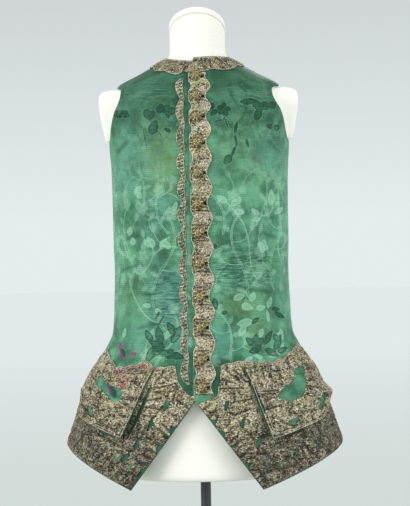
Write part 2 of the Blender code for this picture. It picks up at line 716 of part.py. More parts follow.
def skirt_lace(name, surface, rows, top, inner, openings, finish):
    """The wide lace that covers a skirt from the pocket to the hem."""
    hem = inset(hem_line(rows, 9), -0.0010, EDGE_MARGIN + 0.0012)
    tip_x, tip_height = hem[-1]
    hem[-1] = (tip_x + FRONT_MARGIN, tip_height + 0.0012)
    start, end = rows[-6], rows[-1]
    foot = inner[-1]
    cut = []
    for k in range(1, 7):
        share = 1 - k / 6.4
        x = mix(start.edge_x, end.edge_x, share) + FRONT_MARGIN
        height = mix(start.edge_height, end.edge_height, share)
        if height < foot.height - 0.004:
            cut.append((x, height))
    side_line = []
    for height in (0.520, 0.490, 0.460, 0.425, 0.390):
        width = BODY_CURVES["half_width"](height)
        side_line.append((width * math.sin(math.radians(LACE_SIDE_ANGLE)), height))
    outline = [
        *scalloped(top, 0.020, 0.0026),
        *side_line,
        *hem,
        *cut,
        *[(spot.x, spot.height) for spot in reversed(inner)],
    ]
    holes = [laid_out(leaf(opening)) for opening in openings]
    return applied_solid(name, surface, laid_out(outline), holes, close_lift, even(LACE), finish)


def flap_lift(corner_lift):
    """How far a flap's underside stands off the silk, by shares across from its front edge and down.

    Its top edge is sewn down onto the skirt's lace, and it hangs clear towards its hem.
    """

    def lift(across, down):
        seat = GAP + LACE + FLAP_SEAT
        bend = FLAP_TOP_LIFT * ease(down / 0.25)
        hang = FLAP_HEM_LIFT * ease(down) * (1 - 0.55 * ease(across / 0.7))
        corner = corner_lift * ease((across - 0.45) / 0.55) * ease(down / 0.3) * (1 - 0.5 * down)
        return seat + bend + hang + corner

    return lift


def flap_point(corners, across, down):
    """A flat point of the flap, across from its front edge and down from its top."""
    flat = laid_out([(corner.x, corner.height) for corner in corners])
    top = [mix(flat[0][i], flat[3][i], across) for i in (0, 1)]
    foot = [mix(flat[1][i], flat[2][i], across) for i in (0, 1)]
    return mix(top[0], foot[0], down), mix(top[1], foot[1], down)


def flap_outline(corners, margin):
    """A loop round the flap, drawn in by a margin for what lies on it."""
    width = abs(corners[3].x - corners[0].x)
    depth = abs(corners[0].height - corners[1].height)
    low_across, low_down = margin / width, margin / depth
    steps = 4
    turns = [(k / steps, 0.0) for k in range(steps)] + [(1.0, k / steps) for k in range(steps)]
    turns += [(1 - k / steps, 1.0) for k in range(steps)] + [(0.0, 1 - k / steps) for k in range(steps)]
    loop = []
    for across, down in turns:
        loop.append(
            flap_point(
                corners, mix(low_across, 1 - low_across, across), mix(low_down, 1 - low_down, down)
            )
        )
    return loop


def pocket_flap(name, surface, corners, lift, finish):
    """A flap that hangs in front of its skirt, held off by the lace under it."""
    rows, columns = 6, 8
    spots, top, under, normals = [], [], [], []
    for r in range(rows + 1):
        for c in range(columns + 1):
            across, down = c / columns, r / rows
            spot = flap_point(corners, across, down)
            point, normal = surface_at(surface, *spot)
            spots.append(spot)
            under.append(point + normal * lift(across, down))
            top.append(point + normal * (lift(across, down) + CLOTH))
            normals.append(normal)
    triangles = grid_triangles(rows + 1, columns + 1)
    between_faces(name, top, under, triangles, finish)
    return Surface(spots, triangles, top, normals)


def button_phase(height):
    """How many buttons down a height is, as a share between neighbours."""
    for i, (upper, lower) in enumerate(zip(BUTTON_HEIGHTS, BUTTON_HEIGHTS[1:])):
        if height >= lower:
            return i + (upper - height) / (upper - lower)
    pitch = BUTTON_HEIGHTS[-2] - BUTTON_HEIGHTS[-1]
    return len(BUTTON_HEIGHTS) - 1 + (BUTTON_HEIGHTS[-1] - height) / pitch


def lace_centre(height):
    return FRONT_LACE_CENTRE - FRONT_LACE_WAVE * math.cos(math.tau * button_phase(height))


def front_lace_rise(flat_x, height):
    """The broad lace's thickness: drawn flat at each button and puffed up between them."""
    x = BODY_CURVES["half_width"](height) * math.sin(math.radians(flat_x / ARC))
    across = min(abs(x - lace_centre(height)) / FRONT_LACE_HALF_WIDTH, 1.0)
    puff = math.sin(math.pi * button_phase(height)) ** 2
    return LACE + FRONT_LACE_CROWN * (0.3 + 0.7 * puff) * (1 - across * across)


def front_lace(surface, finish):
    """The broad lace down the left front, which winds to and fro once for each button."""
    rows = 60
    near, far, spine = [], [], []
    for r in range(rows + 1):
        height = mix(FRONT_LACE_HEAD, FRONT_LACE_FOOT, r / rows)
        centre = lace_centre(height)
        near.append((max(centre - FRONT_LACE_HALF_WIDTH, -OVERLAP + 0.0008), height))
        far.append((centre + FRONT_LACE_HALF_WIDTH, height))
        if 0 < r < rows:
            spine.append((centre, mix(FRONT_LACE_HEAD, FRONT_LACE_FOOT, (r + 0.5) / rows)))
    return applied_solid(
        "front_lace_left", surface, laid_out(far + near[::-1]), [], close_lift, front_lace_rise,
        finish, inner=laid_out(spine),
    )


def slim_lace(surface, finish):
    """The narrow scalloped lace down the right front, beside the closing."""
    head, foot, rows = 1.0230, 0.4740, 60
    near, far = [], []
    for r in range(rows + 1):
        height = mix(head, foot, r / rows)
        bulge = abs(math.sin(math.pi * (height - foot) / SLIM_LACE_PITCH))
        near.append((SLIM_LACE_INNER + 0.35 * SLIM_LACE_SCALLOP * bulge, height))
        far.append((SLIM_LACE_INNER + SLIM_LACE_WIDTH + SLIM_LACE_SCALLOP * bulge, height))
    outline = laid_out(far + near[::-1])
    return applied_solid("front_lace_right", surface, outline, [], close_lift, even(LACE), finish)


def neck_lace(name, surface, rows, top_x, foot_x, finish):
    """The lace round the neck of a front, from the closing to the shoulder seam."""
    first = rows[0]
    columns = 16
    edge = angle_at(first.edge_x, first.edge_height)
    top, foot = [], []
    for c in range(columns + 1):
        share = c / columns
        line = []
        for start_x in (top_x, foot_x):
            angle = mix(angle_at(start_x, first.edge_height), 88.6, share)
            neck = row_height(
                first.edge_height, first.side_height, angle, edge, 90.0 - SHOULDER_SEAM_ANGLE
            )
            line.append((angle, neck - EDGE_MARGIN))
        top.append((line[0][0] * ARC, line[0][1]))
        scallop = 0.0018 * abs(math.sin(math.pi * 4 * share))
        width = mix(NECK_LACE_FRONT, NECK_LACE_SIDE, ease(line[1][0] / 90))
        foot.append((line[1][0] * ARC, line[1][1] - width - scallop))
    return applied_solid(name, surface, top + foot[::-1], [], close_lift, even(LACE), finish)


def turned(name, profile, segments, finish, centre, axis=None):
    """A solid turned about an upright axis from (radius, height) pairs, tipped onto axis."""
    points, faces = [], []
    for radius, height in profile:
        for k in range(segments):
            turn = math.tau * k / segments
            points.append(Vector((radius * math.cos(turn), radius * math.sin(turn), height)))
    rings = len(profile)
    for r in range(rings - 1):
        for k in range(segments):
            j = (k + 1) % segments
            faces.append(
                (r * segments + k, r * segments + j, (r + 1) * segments + j, (r + 1) * segments + k)
            )
    faces.append(tuple(range(segments)))
    faces.append(tuple(range((rings - 1) * segments, rings * segments)))
    tip = Vector((0, 0, 1)).rotation_difference(axis) if axis is not None else None
    points = [(tip @ p if tip else p) + centre for p in points]
    return make_object(name, points, faces, finish)


def button(index, height, lace_surface, finish):
    """A domed button that stands on the lace."""
    spots = [(BUTTON_X, height), (BUTTON_X, height + 0.006), (BUTTON_X, height - 0.006)]
    seats = [surface_at(lace_surface, *flat) for flat in laid_out(spots)]
    axis = seats[0][1]
    lead = max((seat - seats[0][0]).dot(axis) for seat, _ in seats)
    seat = seats[0][0] + axis * lead
    profile = [
        (BUTTON_RADIUS * 0.62, 0.0),
        (BUTTON_RADIUS * 0.96, BUTTON_RISE * 0.16),
        (BUTTON_RADIUS, BUTTON_RISE * 0.36),
        (BUTTON_RADIUS * 0.82, BUTTON_RISE * 0.72),
        (BUTTON_RADIUS * 0.42, BUTTON_RISE * 0.96),
    ]
    centre = seat + axis * BUTTON_CLEARANCE
    return turned(f"button_{index + 1:02d}", profile, 10, finish, centre, axis)


def armhole_half_angle(height):
    """Half the armhole's opening at a height, in degrees, where front or back reaches further."""
    halves = []
    back_rows = [row for row in BACK_ROWS if row.side_x is not AT_SEAM]
    for rows in (LEFT_ARMHOLE_ROWS, RIGHT_ARMHOLE_ROWS, back_rows):
        spots = [(r.side_height, 90.0 - angle_at(r.side_x, r.side_height)) for r in rows]
        spots = [(SHOULDER_TIP_HEIGHT - 0.002, 1.0), *spots, (ARMHOLE_FOOT_HEIGHT + 0.004, 0.0)]
        for (upper, first), (lower, second) in zip(spots, spots[1:]):
            if lower <= height <= upper:
                halves.append(mix(second, first, (height - lower) / (upper - lower)))
    return min(halves, default=0.0)


def ring_angles(height):
    """The angles of a ring of the form from the front to the back, closer at the armhole."""
    half = armhole_half_angle(height) or STUB_REST_ANGLE
    start = 90.0 - 0.87 * half
    front = [start * k / FORM_STEPS for k in range(FORM_STEPS)]
    stub = [90.0 + share * half for share in (-0.87, -0.68, -0.4, 0.0, 0.4, 0.68, 0.87)]
    back = [180.0 - angle for angle in reversed(front)]
    return front + stub + back


def torso_ring(height, stub_width=None):
    """One ring of the form, under the cloth above the waist and by its own shape below it.

    A stub width draws the side out past the armhole to a flat, limbless shoulder.
    """
    half_ring = []
    half = armhole_half_angle(height) or STUB_REST_ANGLE
    for angle in ring_angles(height):
        if height > WAIST_HEIGHT:
            point = body_point(angle, height) - body_normal(angle, height) * (CLOTH + EASE)
        else:
            turn = math.radians(angle)
            ahead = math.cos(turn)
            depth = HIP_CURVES["front_depth" if ahead > 0 else "back_depth"](height)
            point = Vector((HIP_CURVES["half_width"](height) * math.sin(turn), -depth * ahead, height))
        off_side = abs(angle - 90.0) / half
        if stub_width is not None and off_side < 0.78:
            point.x = stub_width - (0.0 if off_side < 0.6 else STUB_CORNER)
            point.z = height
        half_ring.append(point)
    return closed_ring(half_ring)


def closed_ring(half_ring):
    """The whole ring from its left half."""
    return half_ring + [Vector((-p.x, p.y, p.z)) for p in reversed(half_ring[1:-1])]


def neck_ring(share, reach, drop):
    """A ring of the neck: share 0 is level with the collar, and 1 is the slanted top."""
    half_ring = []
    for angle in ring_angles(NECK_FOOT_HEIGHT):
        turn = math.radians(angle)
        x = (NECK_HALF_WIDTH - reach) * math.sin(turn)
        y = -(NECK_HALF_DEPTH - reach) * math.cos(turn)
        top = NECK_TOP_HEIGHT - NECK_TOP_SLOPE * y - drop
        half_ring.append(Vector((x, y, mix(NECK_FOOT_HEIGHT, top, share))))
    return closed_ring(half_ring)


def pole_ring(radius, height):
    half_ring = []
    for angle in ring_angles(FORM_FOOT_HEIGHT):
        turn = math.radians(angle)
        half_ring.append(Vector((radius * math.sin(turn), -radius * math.cos(turn), height)))
    return closed_ring(half_ring)


def lofted(name, rings, finish):
    """A solid through rings of equal counts, closed flat at both ends."""
    segments = len(rings[0])
    faces = []
    for r in range(len(rings) - 1):
        for k in range(segments):
            j = (k + 1) % segments
            faces.append(
                (r * segments + k, r * segments + j, (r + 1) * segments + j, (r + 1) * segments + k)
            )
    faces.append(tuple(reversed(range(segments))))
    faces.append(tuple((len(rings) - 1) * segments + k for k in range(segments)))
    return make_object(name, [p for ring in rings for p in ring], faces, finish)


def dress_form(finish):
    """The torso: a neck cut on a slant, flat shoulders, and a socket for the pole."""
    foot = torso_ring(FORM_FOOT_HEIGHT)
    rings = [
        pole_ring(POLE_RADIUS + GAP, FORM_FOOT_HEIGHT + POLE_SOCKET_DEPTH),
        pole_ring(POLE_RADIUS + GAP, FORM_FOOT_HEIGHT),
        [Vector((0.955 * p.x, 0.94 * p.y, FORM_FOOT_HEIGHT)) for p in foot],
    ]
    for level in FORM_LEVELS:
        rings.append(torso_ring(level.height, level.stub_width))
    rings += [neck_ring(share, 0.0, CAP_THICKNESS) for share in (0.0, 0.5, 1.0)]
    return lofted("form_torso", rings, finish)


def neck_cap(finish):
    """The disc on the slanted top of the neck, with a lip just proud of it."""
    rings = [
        neck_ring(1.0, 0.0005, CAP_THICKNESS - GAP),
        neck_ring(1.0, -CAP_LIP, CAP_THICKNESS - GAP - 0.0015),
        neck_ring(1.0, -CAP_LIP, 0.0025),
        neck_ring(1.0, 0.0015, 0.0),
    ]
    return lofted("form_neck_cap", rings, finish)


def stand(pole_finish):
    bore = POLE_RADIUS + GAP
    floor_of_bore = BASE_THICKNESS * 0.5
    base_profile = [
        (bore, floor_of_bore),
        (bore, BOSS_HEIGHT),
        (BOSS_RADIUS - 0.002, BOSS_HEIGHT),
        (BOSS_RADIUS, BOSS_HEIGHT - 0.002),
        (BOSS_RADIUS, BASE_THICKNESS + 0.004),
        (BOSS_RADIUS + 0.004, BASE_THICKNESS),
        (BASE_RADIUS - 0.004, BASE_THICKNESS),
        (BASE_RADIUS, BASE_THICKNESS - 0.004),
        (BASE_RADIUS, 0.0),
    ]
    turned("stand_base", base_profile, 28, pole_finish, Vector((0, 0, 0)))
    pole_profile = [
        (POLE_RADIUS, floor_of_bore + GAP),
        (POLE_RADIUS, FORM_FOOT_HEIGHT + POLE_SOCKET_DEPTH - GAP),
    ]
    turned("stand_pole", pole_profile, 20, pole_finish, Vector((0, 0, 0)))


def main():
    for old in list(bpy.data.objects):
        bpy.data.objects.remove(old)
    silk = material("green_silk_damask", (0.075, 0.255, 0.165), 0.42)
    lace = material("metal_lace", (0.42, 0.35, 0.25), 0.45, 0.6)
    thread = material("gilt_thread_button", (0.50, 0.38, 0.18), 0.40, 0.7)
    linen = material("cream_form_cover", (0.86, 0.84, 0.77), 0.75)
    steel = material("dark_steel", (0.06, 0.065, 0.07), 0.45, 0.5)

    dress_form(linen)
    neck_cap(linen)
    stand(steel)
    left = front_panel("front_left", 1, LEFT_FRONT_ROWS, silk)
    right = front_panel("front_right", -1, RIGHT_FRONT_ROWS, silk)
    back_panel("back_left", 1, silk)
    back_panel("back_right", -1, silk)
    closing = front_lace(left, lace)
    slim_lace(right, lace)
    neck_lace("neck_lace_left", left, LEFT_FRONT_ROWS, -0.0060, -0.0140, lace)
    neck_lace("neck_lace_right", right, RIGHT_FRONT_ROWS, 0.0112, 0.0205, lace)
    skirt_lace(
        "skirt_lace_left", left, LEFT_FRONT_ROWS, LEFT_SKIRT_TOP, LEFT_SKIRT_INNER,
        LEFT_SKIRT_OPENINGS, lace,
    )
    skirt_lace(
        "skirt_lace_right", right, RIGHT_FRONT_ROWS, RIGHT_SKIRT_TOP, RIGHT_SKIRT_INNER,
        RIGHT_SKIRT_OPENINGS, lace,
    )
    for surface, word, corners, openings, corner_lift in (
        (left, "left", LEFT_FLAP, LEFT_FLAP_OPENINGS, LEFT_FLAP_CORNER_LIFT),
        (right, "right", RIGHT_FLAP, RIGHT_FLAP_OPENINGS, RIGHT_FLAP_CORNER_LIFT),
    ):
        flap = pocket_flap(f"pocket_flap_{word}", surface, corners, flap_lift(corner_lift), silk)
        holes = [laid_out(leaf(opening)) for opening in (*openings, FLAP_SLOT)]
        applied_solid(
            f"flap_lace_{word}", flap, flap_outline(corners, 0.0022), holes,
            close_lift, even(LACE), lace,
        )
    for index, height in enumerate(BUTTON_HEIGHTS):
        button(index, height, closing, thread)


main()
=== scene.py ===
"""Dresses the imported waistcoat: silk damask, metal lace, thread buttons, the form and a studio.

Metres, +Z up, the front towards -Y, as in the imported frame. Left and right are the wearer's.
"""

import math
from collections import namedtuple
from functools import partial

import bpy
import numpy as np
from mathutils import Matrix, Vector


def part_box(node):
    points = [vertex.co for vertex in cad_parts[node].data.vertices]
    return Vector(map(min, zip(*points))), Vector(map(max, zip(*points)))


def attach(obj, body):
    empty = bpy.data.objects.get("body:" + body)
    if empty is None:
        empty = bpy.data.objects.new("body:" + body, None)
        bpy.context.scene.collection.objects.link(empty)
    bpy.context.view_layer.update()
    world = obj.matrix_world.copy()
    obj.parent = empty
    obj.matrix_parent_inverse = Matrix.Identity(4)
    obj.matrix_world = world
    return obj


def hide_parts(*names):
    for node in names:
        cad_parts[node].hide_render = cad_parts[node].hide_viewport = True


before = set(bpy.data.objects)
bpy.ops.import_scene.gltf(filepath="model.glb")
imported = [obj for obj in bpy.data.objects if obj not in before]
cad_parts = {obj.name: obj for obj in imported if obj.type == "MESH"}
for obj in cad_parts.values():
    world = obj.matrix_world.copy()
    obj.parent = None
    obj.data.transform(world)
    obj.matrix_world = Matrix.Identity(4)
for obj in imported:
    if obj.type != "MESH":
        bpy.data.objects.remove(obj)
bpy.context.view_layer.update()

bl_info = {
    "name": "Waistcoat on dress form",
    "version": (1, 0, 0),
    "blender": (4, 5, 0),
    "location": "View3D > Sidebar > Waistcoat",
    "description": "Builds the cloth, lace, buttons, form and studio around the packed waistcoat",
    "category": "Object",
}

# Thicknesses and clearances of the cut cloth
CLOTH = 0.0016
LACE = 0.0014
EASE = 0.0026
GAP = 0.0003
ARC = 0.0028  # metres along the cloth for each degree, to lay angles out flat
SEAM_ANGLE = 0.075
SHOULDER_SEAM_ANGLE = 0.18
SIDE_SEAM_ANGLE = 93.0
BACK_VENT_ANGLE = 4.0
SIDE_VENT_ANGLE = 4.0

# Heights
SHOULDER_TIP_HEIGHT = 1.018
ARMHOLE_FOOT_HEIGHT = 0.905
WAIST_HEIGHT = 0.563
BACK_HEM_HEIGHT = 0.336
BACK_VENT_HEIGHT = 0.500

# The closing
OVERLAP = 0.018
OVERLAP_FADE = 0.034
OVERLAP_CLEARANCE = 0.0006
STRAIGHT_ROWS = 6  # the rows from the foot of the closing to the hem, which run straight
STEADY_SHARE = 0.5625
HEM_STRAIGHTNESS = 0.45
BUTTON_X = -0.0045
BUTTON_RADIUS = 0.0102
BUTTON_RISE = 0.0078

FLAP_SEAT = 0.0009
FLAP_TOP_LIFT = 0.0024
FLAP_HEM_LIFT = 0.0075
FRONT_LACE_HALF_WIDTH = 0.0172
FRONT_LACE_WAVE = 0.0045
FRONT_LACE_CROWN = 0.0024
FRONT_LACE_HEAD = 1.0322
FRONT_LACE_FOOT = 0.4560
LACE_SIDE_ANGLE = 86.0
SLIM_LACE_HEAD = 1.0230
SLIM_LACE_FOOT = 0.4740
SLIM_LACE_INNER = 0.0245
SLIM_LACE_WIDTH = 0.0080
SLIM_LACE_SCALLOP = 0.0085
SLIM_LACE_PITCH = 0.0465
NECK_LACE_FRONT = 0.0255
NECK_LACE_SIDE = 0.0125
SCALLOP_PITCH = 0.020
SCALLOP_DEPTH = 0.0026
EDGE_MARGIN = 0.0016
FRONT_MARGIN = 0.0018
FLAP_LACE_MARGIN = (0.0014 / 0.15, 0.0014 / 0.13)  # by shares across and down
OUTLINE_SPACE = 0.0013  # between a bud's outline and its full part
LEAF_POINTS = 28
FRONT_COLUMNS = 106
BACK_COLUMNS = 78
RIM_REACH = 0.0035  # how far a grid's rim is drawn onto a cut edge

# How soft each kind of spot on the silk is at its edge
SPOT_SOFTNESS = {
    "shade": 1.5, "light": 1.5, "warm": 1.7, "cool": 1.7, "crumple": 1.2, "stain": 0.7, "blot": 0.7,
}

# The form and its stand
FORM_FOOT_HEIGHT = 0.296
NECK_FOOT_HEIGHT = 1.0635
NECK_TOP_HEIGHT = 1.128
NECK_TOP_SLOPE = 0.50
NECK_HALF_WIDTH = 0.0512
NECK_HALF_DEPTH = 0.0575
CAP_THICKNESS = 0.0120
CAP_LIP = 0.0010
STUB_CORNER = 0.0035
STUB_REST_ANGLE = 10.0
STUB_SHARES = (-0.87, -0.68, -0.4, 0.0, 0.4, 0.68, 0.87)  # of half the armhole, round the shoulder's end
FORM_STEPS = 6
POLE_RADIUS = 0.0095
POLE_TOP = 0.346
BASE_RADIUS = 0.170
BASE_THICKNESS = 0.008
BOSS_RADIUS = 0.022
BOSS_HEIGHT = 0.040

# The camera, worked out from the picture: 1.85 mm a pixel at the form's axis
CAMERA_PLACE = (0.0068, -3.2, 0.708)
CAMERA_LENS = 123.0
CAMERA_ROLL = 1.1
SENSOR_WIDTH = 36.0
CLIP_END = 100.0
FLOOR_RADIUS = 30.0
SUN_ANGLE = 26.0
# Lights: where each comes from, and its share of the strength in the settings
LIGHTS = (
    ("main_light", (-2.5, -1.9, 0.8), "key_strength", 1.0),
    ("side_light", (2.6, -1.6, 0.7), "fill_strength", 1.0),
    ("back_light", (0.6, 2.8, 1.4), "fill_strength", 0.4),
)


def mm(table, lengths=12):
    """Millimetres as metres. In each row of a table, what follows its lengths stays as it is."""
    return tuple(
        mm(item, lengths) if isinstance(item, tuple)
        else item / 1000 if place < lengths and item is not None else item
        for place, item in enumerate(table)
    )


def shown_on_silk(stems=(), sprays=(), **spots):
    """What a piece of silk shows, from tables in millimetres."""
    shown = {word: mm(rows, 4) for word, rows in spots.items()}
    shown["stems"] = [(half_space, mm(path)) for half_space, path in stems]
    shown["sprays"] = mm(sprays, 2)
    return shown


# Tables are in millimetres, and in degrees for leans and directions
BUTTON_HEIGHTS = mm((
    1025.6, 989.5, 951.7, 905.1, 851.6, 797.3, 744.5, 690.9, 630.2, 574.9, 517.8, 468.9,
))
# Rows that run level from the closing to the side seam
LEVEL_HEIGHTS = 905, 880, 840, 790, 740, 690, 650, 620, 590, 563, 538
LEVEL_ROWS = tuple((-18, height, None, height) for height in LEVEL_HEIGHTS)
# Rows of the fronts' cut from the neck to the hem: x and height at the closing, x and height at the
# side. Without an x the row ends at the seam
LEFT_ROWS = mm((
    (-7.5, 1062, None, 1069.6), (-9.5, 1053, None, 1060), (-12, 1043, None, 1049.5),
    (-16, 1032, None, 1038.5), (-18, 1022.5, None, 1028), (-18, 1014, None, 1018),
    (-18, 1006.5, 138.5, 1011), (-18, 999, 134.3, 1003), (-18, 990, 135.8, 993.5),
    (-18, 980, 141.5, 982), (-18, 968, 149.7, 969), (-18, 953, 154.8, 953.5), (-18, 935, 158.2, 935),
    (-18, 918, 161.7, 918), *LEVEL_ROWS,
    (-18.5, 508, None, 510), (-19, 478, None, 482), (-19.6, 450.2, None, 456), (5, 417, None, 436),
    (29.7, 383.7, None, 416), (54.3, 350.4, None, 396.5), (78.9, 317.1, None, 377),
    (103.5, 283.8, None, 357.2),
))
RIGHT_ROWS = mm((
    (-18, 1053.6, None, 1069.6), (-18, 1046, None, 1060), (-18, 1038, None, 1049.5),
    (-18, 1030, None, 1038.5), (-18, 1022, None, 1028), (-18, 1014, None, 1018),
    (-18, 1006.5, 142, 1011), (-18, 999, 142, 1003), (-18, 990, 143.5, 993.5), (-18, 980, 147.8, 982),
    (-18, 968, 154.2, 969), (-18, 953, 159, 953.5), (-18, 935, 162.5, 935), (-18, 918, 164.5, 918),
    *LEVEL_ROWS, (-18, 514, None, 515),
    (-18, 490.5, None, 492), (12.6, 448.9, None, 465.5), (43.1, 407.3, None, 439),
    (73.7, 365.6, None, 412), (103.6, 325.7, None, 387), (134, 285, None, 362),
))
# Rows of the backs' cut: height at the centre, x and height at the side
BACK_ROWS = mm((
    (1077, None, 1069.6), (1067, None, 1060), (1056, None, 1049.5), (1044, None, 1038.5),
    (1032, None, 1028), (1020, None, 1018), (1012, 144, 1011), (996, 142.5, 996), (978, 147, 978),
    (958, 154.5, 958), (938, 160, 938), (920, 164, 920),
    *((height, None, height) for height in (905, 860, 800, 740, 680, 620, 563, 500, 445, 390, 336)),
))
# The form below the waist: height, half width, front depth and back depth
HIPS = mm((
    (296, 148, 100, 99), (340, 159, 106, 108), (400, 164, 108.5, 113), (460, 165, 109, 112),
    (520, 164, 108.5, 105), (563, 161.5, 107.5, 99.5),
))
# Folds and creases: x, height, end x, end height, width and rise
LEFT_FOLDS = mm((
    (130, 1002, 45, 1030, 8.5, 4.6), (134, 984, 50, 1004, 9, 4.2), (145, 962, 85, 972, 10, 3),
    (150, 900, 152, 690, 11, 2.6), (85, 610, 160, 560, 12, 3.4), (60, 560, 150, 530, 11, 2.6),
))
RIGHT_FOLDS = mm((
    (136, 1004, 45, 1034, 8.5, 4.4), (138, 986, 60, 1012, 9.5, 4.2), (148, 966, 100, 980, 10, 2.8),
    (153, 880, 151, 680, 11, 2.4), (95, 620, 158, 566, 12, 3), (50, 575, 140, 548, 11, 2.6),
))
LEFT_CREASES = mm((
    (128, 993, 60, 1014, 4.2, -2), (140, 973, 78, 988, 4.5, -1.9), (149, 950, 100, 956, 5, -1.3),
    (118, 1010, 70, 1026, 4, -1.4), (30, 716, 118, 708, 3.4, -0.8), (36, 700, 102, 694, 3, -0.7),
    (44, 683, 126, 672, 3.6, -0.9), (30, 664, 90, 660, 3.2, -0.7), (52, 648, 140, 632, 3.8, -1),
    (34, 628, 98, 624, 3.4, -0.8), (60, 603, 148, 584, 4.2, -1.1), (110, 742, 150, 728, 4, -1),
    (120, 772, 154, 762, 4, -0.9), (34, 600, 70, 588, 3.4, -0.7), (98, 560, 108, 520, 4, -0.8),
    (146, 860, 150, 780, 5, -1.2), (70, 880, 82, 780, 9, 1), (110, 850, 104, 740, 10, 1),
    (120, 915, 155, 880, 6, -1.2), (90, 905, 150, 856, 7, 1.2),
))
RIGHT_CREASES = mm((
    (134, 996, 62, 1020, 4.2, -2), (142, 976, 80, 996, 4.6, -2), (152, 955, 104, 966, 4.8, -1.4),
    (120, 1014, 66, 1034, 4, -1.5), (44, 668, 98, 662, 3.2, -0.9), (40, 654, 88, 651, 3, -0.8),
    (50, 641, 122, 632, 3.6, -1), (38, 627, 82, 624, 3, -0.8), (44, 613, 104, 604, 3.4, -0.9),
    (36, 599, 76, 596, 3, -0.7), (56, 588, 132, 571, 4, -1.1), (112, 690, 152, 676, 4.2, -1),
    (110, 742, 150, 732, 4.2, -0.9), (60, 552, 94, 535, 4, -0.9), (148, 850, 149, 760, 5, -1.2),
    (60, 900, 66, 800, 9, 1.1), (108, 870, 100, 760, 10, 1), (124, 918, 156, 888, 6, -1.2),
    (96, 910, 152, 862, 7, 1.2),
))
BACK_CREASES = mm((
    (136, 984, 60, 1006, 7, -1.6), (146, 958, 78, 972, 8, -1.4), (150, 930, 100, 934, 8, 1.2),
    (20, 640, 90, 634, 5, -1), (26, 618, 110, 606, 5, -1.2), (20, 596, 78, 590, 4.5, -0.9),
    (40, 576, 130, 560, 5.5, -1.2), (30, 670, 74, 664, 4.5, -0.9), (96, 900, 140, 770, 11, 1.2),
    (50, 880, 60, 700, 13, 1.2), (70, 500, 86, 360, 14, 2.2), (130, 500, 150, 370, 14, -1.8),
    (30, 480, 36, 360, 12, -1.4), (118, 690, 150, 650, 6, -1.1),
))
# The flaps' corners: x and height, from the front's top round by the foot
LEFT_FLAP = mm((
    (70.3, 502), (116.4, 372), (204, 402), (219, 464),
))
RIGHT_FLAP = mm((
    (86.3, 502), (144.1, 377.3), (219, 412), (212, 474),
))
# The skirt laces' upper edge, and their edge towards the closing
LEFT_SKIRT_TOP = mm((
    (30.3, 505), (50, 510), (70.6, 513), (97.2, 508.5), (124.5, 508.5), (143.6, 514), (160, 526.3),
    (172, 540),
))
RIGHT_SKIRT_TOP = mm((
    (50, 506), (87, 503), (102.5, 517), (119, 508), (141, 503.5), (156.6, 503), (168, 518), (174.5, 534),
))
LEFT_SKIRT_INNER = mm(((27, 470), (24, 452)))
RIGHT_SKIRT_INNER = mm(((43, 474), (29, 456)))
# Gaps in the laces: a leaf by x, height, half width, half height and lean, or points round a gap
LEFT_SKIRT_OPENINGS = mm((
    (39.5, 435, 4, 10, -15), (67.5, 404, 4, 9.5, -20), (95, 368, 4.5, 11, -25), (159, 344, 3, 2.4, -15),
    (127, 330, 2.6, 2, -15), ((163, 490), (172, 498), (182, 495), (183, 482), (178, 474), (166, 478)),
    ((116, 412), (122, 398), (124, 384), (119, 390), (113, 408)),
    ((160, 392), (174, 398), (180, 392), (170, 384), (160, 384)),
), 4)
RIGHT_SKIRT_OPENINGS = mm((
    (68, 437, 4, 11, 20), (96, 404, 4, 12.5, 22), (120.5, 369, 3.8, 11.5, 25), (143, 342, 4.6, 10, 30),
    ((180, 403), (192, 400), (188, 388), (176, 382), (158, 381), (164, 392)),
    ((92, 478), (100, 464), (118, 426), (138, 382), (136, 380), (123, 402), (108, 432), (95, 462)),
), 4)
LEFT_FLAP_OPENINGS = mm((
    (
        (180, 480), (181.5, 470), (178.5, 459), (171.8, 445), (156.4, 440), (151, 430), (145, 440),
        (134, 442), (130, 450), (133, 459), (144.1, 466.1), (157, 473.8), (164, 482),
    ),
    ((80, 470), (90, 464), (99, 442), (106, 420), (102, 420), (93, 440)),
    ((144, 401), (156, 408), (164, 408), (156, 396)),
), 4)
RIGHT_FLAP_OPENINGS = mm((
    (
        (194, 483), (180, 483), (173.5, 474), (160.7, 471), (146, 465), (142, 454), (146, 444),
        (158.2, 443), (176.1, 457.7), (188.9, 470),
    ),
), 4)
LEFT_FLAP_SLOT = mm((
    (203, 447), (207, 444), (206, 428), (201, 418), (196, 418), (199, 430),
), 4)
RIGHT_FLAP_SLOT = mm((
    (199, 432), (203, 430), (201, 418), (196, 413), (196, 421),
), 4)
